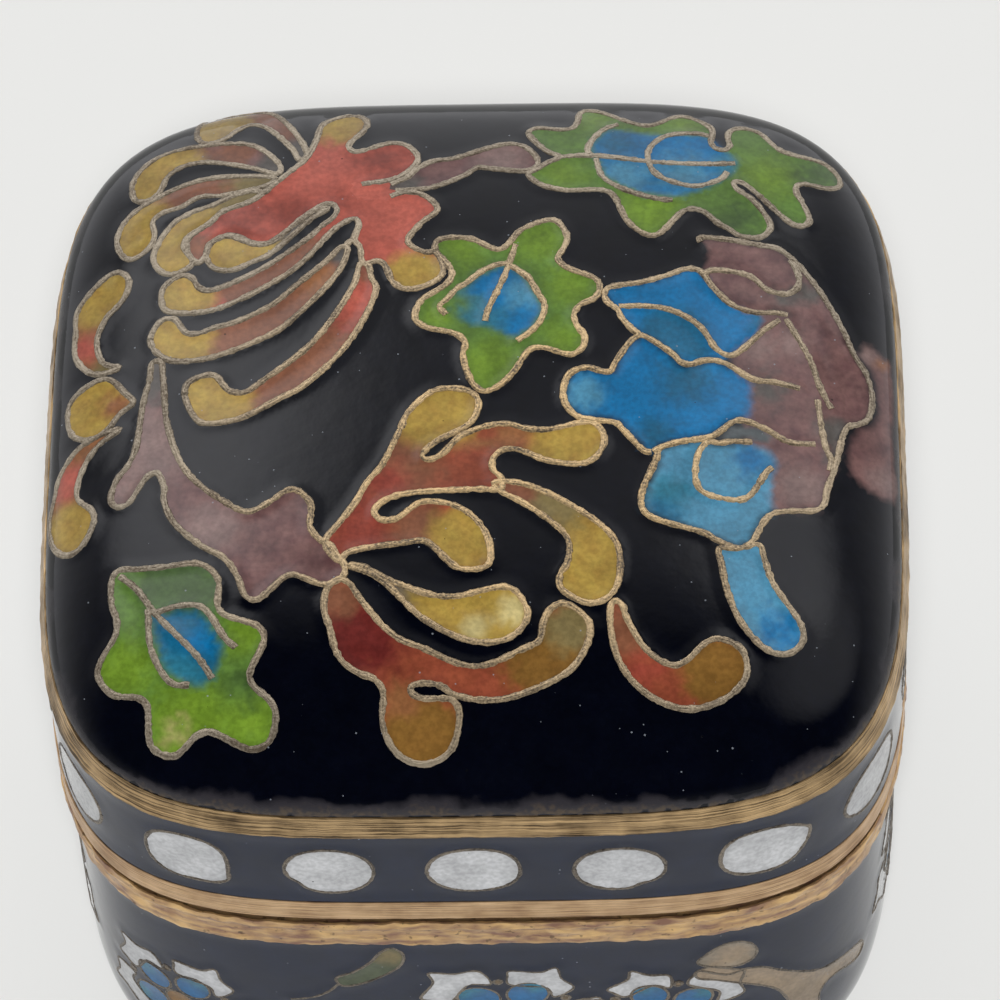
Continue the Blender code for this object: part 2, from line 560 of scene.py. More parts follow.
@dataclass
class EnamelField:
    """A surface filled with enamel: the cells of the picture, set between wires.

    The enamel meets the wires at their tops and is dished a little between them, as it shrinks on firing.
    """

    surface: Dome | Side
    picture: Picture
    spacing: float
    around: int
    seed: int
    ground: Tone
    dish: float = 0.05
    dish_width: float = 0.7
    ripple: float = 0.02
    ripple_size: float = 4.5
    thin_edge: float = 0.15
    settle: float = 1.2
    clump: float = 0.9
    grain: float = 0.33
    border_room: float = 0.12
    jitter: float = 0.12
    crowding: float = 0.55
    flip: bool = False

    def paths(self, step: float) -> list[tuple[Array, bool]]:
        """Draws every wire.

        Args:
            step: spacing of its points.

        Returns:
            Each wire's points in flat coordinates, and whether it is closed.
        """
        wires = [(c.outline, c.edge is Edge.CLOSED) for c in self.picture.cells if c.edge is not Edge.BARE]
        wires += [(points, False) for points in self.picture.strands]
        return [(smooth_path(points, closed, step), closed) for points, closed in wires]

    def triangles(self) -> tuple[Array, Array]:
        """Triangulates the sheet so that edges run under every wire.

        Returns:
            The points in flat coordinates, and the triangles, counter-clockwise in them.
        """
        border = self.surface.border(self.around)
        lines = []
        for path, closed in self.paths(self.spacing):
            for turn in self.surface.turns():
                line = self.surface.sheet(path + (turn, 0))
                clear = nearest(line, border, 1) > self.border_room
                lines.append((line, inside(line, border) & clear, closed))
        # Elsewhere the points stand in rows of even triangles, a little shaken, and clear of the wires.
        low, high = border.min(axis=0), border.max(axis=0)
        row = self.spacing * math.sqrt(3) / 2
        columns = np.arange(low[0], high[0], self.spacing)
        grid = [
            np.column_stack([columns + self.spacing / 2 * (k % 2), np.full(len(columns), y)])
            for k, y in enumerate(np.arange(low[1], high[1], row))
        ]
        loose = np.vstack(grid)
        dice = np.random.default_rng(self.seed)
        loose += dice.uniform(-self.jitter, self.jitter, loose.shape) * self.spacing
        fixed = np.vstack([border] + [line[kept] for line, kept, _ in lines])
        clear = nearest(loose, fixed, self.spacing) > self.spacing * self.crowding
        loose = loose[clear & inside(loose, border)]
        points, start = [border], len(border)
        edges = [(k, (k + 1) % start) for k in range(start)]
        for line, kept, closed in lines:
            number = start - 1 + np.cumsum(kept)
            ends = np.roll(np.arange(len(line)), -1)
            joined = kept & kept[ends]
            joined[-1] &= closed
            edges += list(zip(number[joined].tolist(), number[ends][joined].tolist()))
            points.append(line[kept])
            start += int(kept.sum())
        every = [Vector(p) for p in np.vstack([*points, loose]).tolist()]
        only_inside, merge = 1, 1e-4
        verts, _, faces, *_ = delaunay_2d_cdt(every, edges, [], only_inside, merge)
        return self.surface.unsheet(np.array([tuple(v) for v in verts])), np.array(faces)

    def paint(self, flat: Array, faces: Array) -> Array:
        """Lays the glazes in, cell by cell.

        Args:
            flat: the points.
            faces: the triangles.

        Returns:
            A colour for each triangle's corner.
        """
        coarse, fine = noise_at(flat, self.clump, self.seed), noise_at(flat, self.grain, self.seed + 7.5)
        speckle = np.clip(0.5 + 0.55 * coarse + 0.45 * fine, 0, 1)
        centres = flat[faces].mean(axis=1)
        colours = self.ground.shade(speckle[faces])
        for cell, turn in itertools.product(self.picture.cells, self.surface.turns()):
            outline = smooth_path(cell.outline, True, 0.25) + (turn, 0)
            low, high = outline.min(axis=0), outline.max(axis=0)
            close = (centres >= low - self.spacing) & (centres <= high + self.spacing)
            near = np.flatnonzero(close.all(axis=1))
            within = inside(centres[near], outline)
            if cell.soft:
                within |= inside(flat[faces[near]].reshape(-1, 2), outline).reshape(-1, 3).any(axis=1)
            chosen = near[within]
            if not len(chosen):
                continue
            index = faces[chosen]
            colour = cell.tone.shade(speckle[index])
            for drop in cell.drops:
                away = np.hypot(flat[index, 0] - drop.x - turn, flat[index, 1] - drop.y)
                mix = (drop.radius - away) / drop.soft + 0.5 + 0.28 * coarse[index] + 0.35 * fine[index]
                share = smoothstep(mix)[..., None]
                colour = colour * (1 - share) + drop.tone.shade(speckle[index]) * share
            if cell.soft:
                used, back = np.unique(index, return_inverse=True)
                rim = nearest(flat[used], smooth_path(cell.outline, True, 0.1) + (turn, 0), cell.soft)
                rim = rim * inside(flat[used], outline)
                fade = smoothstep(rim / cell.soft + 0.3 * fine[used])[back.reshape(index.shape)][..., None]
                colour = colours[chosen] * (1 - fade) + colour * fade
            colours[chosen] = colour
        return colours

    def build(self) -> Patch:
        """Makes the enamel's surface.

        Returns:
            The patch.
        """
        flat, faces = self.triangles()
        wires = [path + (turn, 0) for path, _ in self.paths(0.15) for turn in self.surface.turns()]
        wire_gap = nearest(self.surface.sheet(flat), self.surface.sheet(np.vstack(wires)), FAR)
        edge_gap = self.surface.edge_gap(flat)
        sunk = self.dish * smoothstep(wire_gap / self.dish_width)
        rolling = noise_at(flat, self.ripple_size, self.seed + 3.5) * self.ripple
        height = (rolling - sunk) * smoothstep(self.surface.border_gap(flat) / self.settle)
        colours = self.paint(flat, faces)
        if self.flip:
            faces, colours = faces[:, ::-1], colours[:, ::-1]
        return Patch(self.surface.lift(flat, height), faces, colours, wire_gap, edge_gap / self.thin_edge)


def loft(rings: list[Array], inner: bool = False, fill: bool = False, turned: bool = False) -> Patch:
    """Joins rings of equal count by a strip of faces, which look outward where the rings go down.

    Args:
        rings: rows of three coordinates for each ring.
        inner: whether the faces belong to the lining.
        fill: whether the last ring is closed by a fan of faces.
        turned: whether the faces look the other way.

    Returns:
        The patch, plain ground in colour.
    """
    count = len(rings[0])
    points = np.vstack(rings)
    here = np.arange(count)
    after = (here + 1) % count
    faces = []
    for upper in range(0, (len(rings) - 1) * count, count):
        lower = upper + count
        faces.append(np.column_stack([upper + here, lower + here, lower + after]))
        faces.append(np.column_stack([upper + here, lower + after, upper + after]))
    if fill:
        last = (len(rings) - 1) * count
        points = np.vstack([points, rings[-1].mean(axis=0)])
        faces.append(np.column_stack([last + here, np.full(count, len(points) - 1), last + after]))
    faces = np.vstack(faces)
    if turned:
        faces = faces[:, ::-1]
    colours = np.tile(Tone.GROUND.shade(0.0), (len(faces), 3, 1))
    far = np.full(len(points), FAR)
    return Patch(points, faces, colours, far, far, inner)


def join(name: str, patches: tuple[Patch, ...], materials: tuple[Material, ...]) -> Object:
    """Makes one closed mesh of patches whose borders meet.

    Args:
        name: the piece's name.
        patches: the patches, in millimetres.
        materials: the outside's material and then the lining's.

    Returns:
        The piece, at the origin.
    """
    starts = np.cumsum([0] + [len(p.points) for p in patches])
    points = np.vstack([p.points for p in patches]) * MM
    faces = np.vstack([p.faces + s for p, s in zip(patches, starts)])
    mesh = bpy.data.meshes.new(name)
    mesh.from_pydata(points.tolist(), [], faces.tolist())
    colour = mesh.color_attributes.new("glaze", "FLOAT_COLOR", "CORNER")
    shades = np.vstack([p.colours for p in patches]).reshape(-1, 3)
    shades = np.column_stack([shades, np.ones(len(shades))])
    colour.data.foreach_set("color", shades.astype(np.float32).ravel())
    for key in ("wire_gap", "edge_gap"):
        values = np.concatenate([getattr(p, key) for p in patches]).astype(np.float32)
        mesh.attributes.new(key, "FLOAT", "POINT").data.foreach_set("value", values)
    lining = np.concatenate([np.full(len(p.faces), p.inner, np.int32) for p in patches])
    for material in materials:
        mesh.materials.append(material)
    mesh.polygons.foreach_set("material_index", lining)
    work = bmesh.new()
    work.from_mesh(mesh)
    rim = [v for v in work.verts if v.is_boundary or not v.link_faces]
    bmesh.ops.remove_doubles(work, verts=rim, dist=2e-6)
    work.to_mesh(mesh)
    work.free()
    mesh.shade_smooth()
    mesh.set_sharp_from_angle(angle=math.radians(35))
    return put(name, mesh)


# ---------- nodes

NOISE, RANGE, MATH = "ShaderNodeTexNoise", "ShaderNodeMapRange", "ShaderNodeMath"
VECTOR, MIX, READ = "ShaderNodeVectorMath", "ShaderNodeMix", "ShaderNodeAttribute"
EASED = {"interpolation_type": "SMOOTHSTEP"}
SPAN = (0.3, 0.7)  # where most of a noise texture's values lie
Inputs = dict[str | int, object] | tuple


def fill(node: Node, inputs: Inputs) -> None:
    """Sets a node's inputs.

    Args:
        node: the node.
        inputs: a value, a hex colour or a socket to link from for each, by name or number, or in their order.
    """
    for key, value in inputs.items() if isinstance(inputs, dict) else enumerate(inputs):
        if isinstance(value, NodeSocket):
            node.id_data.links.new(value, node.inputs[key])
        elif isinstance(value, str) and value.startswith("#"):
            node.inputs[key].default_value = (*linear(value), 1.0)
        else:
            node.inputs[key].default_value = value


def add(
    tree: NodeTree, kind: str, inputs: Inputs = (), output: int | str = 0, **settings: object
) -> NodeSocket | None:
    """Adds a node to a tree.

    Args:
        tree: the shader or geometry tree.
        kind: the node's type.
        inputs: its inputs, as fill takes them.
        output: which of its outputs to give back.
        settings: the node's own properties.

    Returns:
        The output, where the node has any.
    """
    node = tree.nodes.new(kind)
    for name, value in settings.items():
        setattr(node, name, value)
    fill(node, inputs)
    return node.outputs[output] if node.outputs else None


class WireSweep:
    """The Geometry Nodes tree that draws a flat, slightly lumpy wire along each path of a mesh of edges."""

    SIZES = ("Half Width", "Half Thickness", "Step", "Wander", "Lump Size", "Seed")

    def __init__(self) -> None:
        """Builds the tree."""
        t = self.tree = bpy.data.node_groups.new("wire_sweep", "GeometryNodeTree")
        face = t.interface
        for way in ("INPUT", "OUTPUT"):
            face.new_socket("Geometry", in_out=way, socket_type="NodeSocketGeometry")
        kinds = {**dict.fromkeys(self.SIZES, "NodeSocketFloat"), "Material": "NodeSocketMaterial"}
        self.identifiers = {
            name: face.new_socket(name, in_out="INPUT", socket_type=kind).identifier
            for name, kind in kinds.items()
        }
        given = add(t, "NodeGroupInput").node.outputs
        curve = add(t, "GeometryNodeMeshToCurve", (given["Geometry"],))
        even = add(t, "GeometryNodeResampleCurve", {"Curve": curve, "Length": given["Step"]}, mode="LENGTH")
        even = self.named(even, "along", add(t, "GeometryNodeSplineParameter", (), "Length"))
        place = add(t, "GeometryNodeInputPosition")
        lumps = add(t, MATH, (1.0, given["Lump Size"]), operation="DIVIDE")
        drift = {"Vector": place, "W": given["Seed"], "Scale": lumps, "Detail": 2.0}
        drift = add(t, NOISE, drift, noise_dimensions="4D")
        centred = add(t, VECTOR, (drift.node.outputs["Color"], (0.5, 0.5, 0.5)), operation="SUBTRACT")
        sway = add(t, VECTOR, {0: centred, "Scale": given["Wander"]}, operation="SCALE")
        bent = add(t, "GeometryNodeSetPosition", {"Geometry": even, "Offset": sway})
        upward = add(t, "GeometryNodeInputNamedAttribute", ("surface_normal",), data_type="FLOAT_VECTOR")
        laid = add(t, "GeometryNodeSetCurveNormal", {"Curve": bent, "Normal": upward}, mode="FREE")
        lump = add(t, RANGE, (drift, *SPAN, 0.78, 1.22))
        size = add(t, "ShaderNodeCombineXYZ", (given["Half Thickness"], given["Half Width"], 1.0))
        ring = add(t, "GeometryNodeCurvePrimitiveCircle", {"Resolution": 10})
        ring = self.named(ring, "across", add(t, "ShaderNodeSeparateXYZ", (place,), "Y"))
        section = add(t, "GeometryNodeTransform", {"Geometry": ring, "Scale": size})
        swept = {"Curve": laid, "Profile Curve": section, "Scale": lump, "Fill Caps": True}
        soft = add(t, "GeometryNodeSetShadeSmooth", (add(t, "GeometryNodeCurveToMesh", swept),))
        real = add(t, "GeometryNodeRealizeInstances", (soft,))
        dressed = add(t, "GeometryNodeSetMaterial", {"Geometry": real, "Material": given["Material"]})
        add(t, "NodeGroupOutput", (dressed,))

    def named(self, shape: NodeSocket, name: str, value: NodeSocket) -> NodeSocket:
        """Keeps a value on the points of a shape, under a name that the wire's material reads."""
        kept = {"Geometry": shape, "Name": name, "Value": value}
        return add(self.tree, "GeometryNodeStoreNamedAttribute", kept)

    def run(self, name: str, paths: Mesh, values: dict[str, object]) -> Object:
        """Sweeps the wires of one field.

        Args:
            name: the piece's name.
            paths: a mesh of edges with each point's surface normal.
            values: the tree's inputs by name.

        Returns:
            The wires as a plain mesh piece.
        """
        guide = put(name + "_paths", paths)
        modifier = guide.modifiers.new("sweep", "NODES")
        modifier.node_group = self.tree
        for key, value in values.items():
            modifier[self.identifiers[key]] = value
        graph = bpy.context.evaluated_depsgraph_get()
        mesh = bpy.data.meshes.new_from_object(guide.evaluated_get(graph))
        guide.modifiers.remove(modifier)
        bpy.data.objects.remove(guide)
        mesh.attributes.remove(mesh.attributes["surface_normal"])
        mesh.name = name
        return put(name, mesh)


@dataclass(frozen=True)
class Wirework:
    """The cloisons of one enamel field: fine gilt brass wires standing in the glaze."""

    field: EnamelField
    half_width: float = 0.21
    half_thickness: float = 0.1
    sink: float = 0.035
    step: float = 0.15
    wander: float = 0.07
    lump: float = 0.3

    def build(self, name: str, sweep: WireSweep, material: Material) -> Object:
        """Sweeps the wires.

        Args:
            name: the piece's name.
            sweep: the tree that draws them.
            material: their finish.

        Returns:
            The piece.
        """
        points, normals, edges = [], [], []
        surface, start = self.field.surface, 0
        for path, closed in self.field.paths(self.step):
            count = len(path)
            points.append(surface.lift(path, -self.sink))
            normals.append(surface.normal(path))
            edges += [(start + k, start + k + 1) for k in range(count - 1)]
            if closed:
                edges.append((start + count - 1, start))
            start += count
        mesh = bpy.data.meshes.new(name)
        mesh.from_pydata((np.vstack(points) * MM).tolist(), edges, [])
        attribute = mesh.attributes.new("surface_normal", "FLOAT_VECTOR", "POINT")
        attribute.data.foreach_set("vector", np.vstack(normals).astype(np.float32).ravel())
        sizes = (self.half_width, self.half_thickness, self.step, self.wander, self.lump)
        values = {key: size * MM for key, size in zip(WireSweep.SIZES, sizes)}
        return sweep.run(name, mesh, {**values, "Seed": float(self.field.seed), "Material": material})


# ---------- finishes


def new_material(name: str) -> tuple[Material, NodeTree, Node, NodeSocket]:
    """Starts a material.

    Args:
        name: its name.

    Returns:
        The material, its tree, its Principled shader and the place on the piece.
    """
    material = bpy.data.materials.new(name)
    material.use_nodes = True
    t = material.node_tree
    shader = next(n for n in t.nodes if n.type == "BSDF_PRINCIPLED")
    return material, t, shader, add(t, "ShaderNodeTexCoord", (), "Object")


def per_mm(size: float) -> float:
    """A texture's scale for lumps of a size in millimetres, on coordinates in metres."""
    return 1 / (size * MM)


@dataclass(frozen=True)
class VitreousEnamel:
    """Fired glass enamel, ground and polished: deep colour under a wet gloss, with gas pits and dust."""

    grain: float = 0.3
    cloud: float = 2.2
    pit_spacing: float = 1.3
    pit_radius: float = 0.065
    dust_spacing: float = 0.7
    dust_radius: float = 0.058
    dust_tint: str = "#8d939c"
    peel: float = 1.6
    roughness: float = 0.07
    thin_tint: str = "#2a282c"
    bare_tint: str = "#473d33"

    def build(self, name: str) -> Material:
        """Makes the material, which reads the glaze and gap attributes of the mesh.

        Args:
            name: its name.

        Returns:
            The material.
        """
        material, t, shader, place = new_material(name)
        glaze = add(t, READ, (), "Color", attribute_name="glaze")
        wire_gap, edge_gap = (add(t, READ, (), "Fac", attribute_name=key) for key in ("wire_gap", "edge_gap"))
        grain, clouds, broad, ragged, fray, peel = (
            add(t, NOISE, {"Vector": place, "Scale": per_mm(size), "Detail": detail})
            for size, detail in ((self.grain, 2.0), (self.cloud, 3.0), (4.5, 2.0), (0.9, 2.0), (0.35, 2.0),
                                 (self.peel, 3.0))
        )
        # Gas pits and dust are round specks of uneven size, as large as it takes for them to show.
        specks = []
        for spacing, radius, fewest in ((self.pit_spacing, self.pit_radius, 0.45),
                                        (self.dust_spacing, self.dust_radius, 0.35)):
            away = add(t, "ShaderNodeTexVoronoi", {"Vector": place, "Scale": per_mm(spacing)}, "Distance")
            chosen = add(t, "ShaderNodeSeparateColor", (away.node.outputs["Color"],))
            size = add(t, RANGE, (chosen, fewest, 1.0, 0.0, radius / spacing), **EASED)
            specks.append(add(t, MATH, (away, size), operation="LESS_THAN"))
        pit, dust = specks
        # The glaze is darker within about half a millimetre of a wire, and in its pits.
        tone = None
        for value, *ends in ((grain, *SPAN, 0.88, 1.12), (wire_gap, 0.1, 0.6, 0.9, 1.0),
                             (clouds, *SPAN, 0.83, 1.11), (pit, 0.0, 1.0, 1.0, 0.35)):
            shade = add(t, RANGE, (value, *ends), **EASED)
            tone = add(t, MATH, (tone, shade), operation="MULTIPLY") if tone else shade
        coloured = add(t, VECTOR, {0: glaze, "Scale": tone}, operation="SCALE")
        dust = add(t, MATH, (dust, 0.5), operation="MULTIPLY")
        coloured = add(t, MIX, {0: dust, 6: coloured, 7: self.dust_tint}, 2, data_type="RGBA")
        # Along the brass the dark glaze thins in a waving line, and metal shows through its last grains.
        swing = add(t, RANGE, (broad, *SPAN, 0.4, 1.6), **EASED)
        wobble = add(t, RANGE, (ragged, *SPAN, -0.12, 0.12), **EASED)
        width = add(t, MATH, (swing, wobble), operation="ADD")
        thin = add(t, MATH, (edge_gap, width), operation="DIVIDE")
        frayed = add(t, RANGE, (fray, *SPAN, -0.2, 0.2), **EASED)
        frayed = add(t, MATH, (thin, frayed), operation="ADD")
        bare = add(t, RANGE, (frayed, 0.0, 0.6, 1.0, 0.0), **EASED)
        fringe = add(t, MIX, {0: bare, 6: self.thin_tint, 7: self.bare_tint}, 2, data_type="RGBA")
        cover = add(t, RANGE, (thin, 0.6, 1.15, 0.95, 0.0), **EASED)
        colour = add(t, MIX, {0: cover, 6: coloured, 7: fringe}, 2, data_type="RGBA")
        smooth = add(t, RANGE, (clouds, *SPAN, self.roughness * 0.6, self.roughness * 1.7), **EASED)
        rough = add(t, RANGE, (thin, 0.6, 1.1, 0.22, 0.0), **EASED)
        rough = add(t, MATH, (smooth, rough), operation="ADD")
        relief = add(t, MATH, (pit, -1.5, peel), operation="MULTIPLY_ADD")
        bump = add(t, "ShaderNodeBump", {"Height": relief, "Distance": 0.012 * MM})
        # Old polish, so it mirrors a little less than fresh glass.
        fill(shader, {"Base Color": colour, "Roughness": rough, "Normal": bump, "IOR": 1.35})
        return material


@dataclass(frozen=True)
class GiltWire:
    """Gilt brass cloison wire, ground flush with the glaze: pale gold grains and streaks under tarnish."""

    bright: str = "#e0c08e"
    grey: str = "#ab9f8c"
    dull: str = "#665a4b"
    pitch: float = 0.14
    streak: float = 1.3
    # The middle of the painted highlight on the wires, and how far out it fades to grey, in millimetres.
    crown: Triple = (3.0, -4.0, 40.0)
    glint_reach: Point = (8.0, 21.0)

    def build(self, name: str) -> Material:
        """Makes the material, which reads how far along and across the wire a point lies.

        Args:
            name: its name.

        Returns:
            The material.
        """
        material, t, shader, place = new_material(name)
        along, across = (add(t, READ, (), "Fac", attribute_name=key) for key in ("along", "across"))
        length = add(t, MATH, (along, per_mm(self.streak)), operation="MULTIPLY")
        width = add(t, MATH, (across, 2.2), operation="MULTIPLY")
        way = add(t, "ShaderNodeCombineXYZ", (length, width))
        streaks = add(t, NOISE, {"Vector": way, "Scale": 1.0, "Detail": 2.0})
        grains = add(t, NOISE, {"Vector": place, "Scale": per_mm(self.pitch), "Detail": 1.0})
        tarnish = add(t, NOISE, {"Vector": place, "Scale": per_mm(4.0), "Detail": 2.0})
        relief = add(t, MATH, (streaks, 1.3, grains), operation="MULTIPLY_ADD")
        both = add(t, MATH, (tarnish, 0.9, relief), operation="MULTIPLY_ADD")
        mix = add(t, RANGE, (both, 1.25, 1.85))
        # Painted highlight: gold where the lamp's reflection falls on wires near the crown, greyer further
        # out.
        crown = tuple(size * MM for size in self.crown)
        away = add(t, VECTOR, (place, crown), "Value", operation="DISTANCE")
        worn = add(t, RANGE, (away, self.glint_reach[0] * MM, self.glint_reach[1] * MM))
        metal = add(t, MIX, {0: worn, 6: self.bright, 7: self.grey}, 2, data_type="RGBA")
        colour = add(t, MIX, {0: mix, 6: self.dull, 7: metal}, 2, data_type="RGBA")
        rough = add(t, RANGE, (grains, 0.0, 1.0, 0.55, 0.3))
        bump = add(t, "ShaderNodeBump", {"Height": relief, "Distance": 0.045 * MM})
        # The tarnish is a thin dull film, so the metal shows only in part.
        fill(shader, {"Base Color": colour, "Metallic": 0.6, "Roughness": rough, "Normal": bump})
        return material


@dataclass(frozen=True)
class WornBrass:
    """Brass edging, filed along its length and worn: warm metal, fine scratches and dark specks."""

    bright: str = "#d2b182"
    dull: str = "#4c3c29"
    scratch_length: float = 6.0
    scratch_width: float = 0.11
    patch: float = 2.0
    depth: float = 0.03
    metal: float = 0.85
    nicks: float = 0.0

    def build(self, name: str, along: bool) -> Material:
        """Makes the material.

        Args:
            name: its name.
            along: whether the piece has a map of its length and width for the scratches to follow.

        Returns:
            The material.
        """
        material, t, shader, place = new_material(name)
        long, fine = per_mm(self.scratch_length), per_mm(self.scratch_width)
        turned = {"Vector": place, "Scale": (long, long, fine)}
        if along:
            turned = {"Vector": place.node.outputs["UV"], "Scale": (long, fine, fine)}
        lines = add(t, NOISE, {"Vector": add(t, "ShaderNodeMapping", turned), "Scale": 1.0, "Detail": 3.0})
        patches = add(t, NOISE, {"Vector": place, "Scale": per_mm(self.patch), "Detail": 4.0})
        both = add(t, MATH, (lines, 2.0, patches), operation="MULTIPLY_ADD")
        mix = add(t, RANGE, (both, 1.15, 1.85))
        colour = add(t, MIX, {0: mix, 6: self.dull, 7: self.bright}, 2, data_type="RGBA")
        if self.nicks:
            # Small dark dents from the hammer.
            holes = add(t, NOISE, {"Vector": place, "Scale": per_mm(0.5), "Detail": 2.0})
            clear = add(t, RANGE, (holes, self.nicks, self.nicks + 0.06, 0.5))
            colour = add(t, VECTOR, {0: colour, "Scale": clear}, operation="SCALE")
        rough = add(t, RANGE, (patches, *SPAN, 0.5, 0.3))
        bump = add(t, "ShaderNodeBump", {"Height": both, "Distance": self.depth * MM})
        fill(shader, {"Base Color": colour, "Metallic": self.metal, "Roughness": rough, "Normal": bump})
        return material


@dataclass(frozen=True)
class CounterEnamel:
    """Turquoise enamel fired on the inside to balance the outside: even, speckled, a little less polished."""

    tint: str = "#2d8f93"
    fleck: str = "#1f6f78"

    def build(self, name: str) -> Material:
        """Makes the material.

        Args:
            name: its name.

        Returns:
            The material.
        """
        material, t, shader, place = new_material(name)
        flecks = add(t, NOISE, {"Vector": place, "Scale": per_mm(0.7), "Detail": 4.0})
        mix = add(t, RANGE, (flecks, 0.35, 0.65))
        colour = add(t, MIX, {0: mix, 6: self.fleck, 7: self.tint}, 2, data_type="RGBA")
        rough = add(t, RANGE, (flecks, 0.0, 1.0, 0.12, 0.3))
        bump = add(t, "ShaderNodeBump", {"Height": flecks, "Distance": 0.02 * MM})
        fill(shader, {"Base Color": colour, "Roughness": rough, "Normal": bump})
        return material


# ---------- pictures


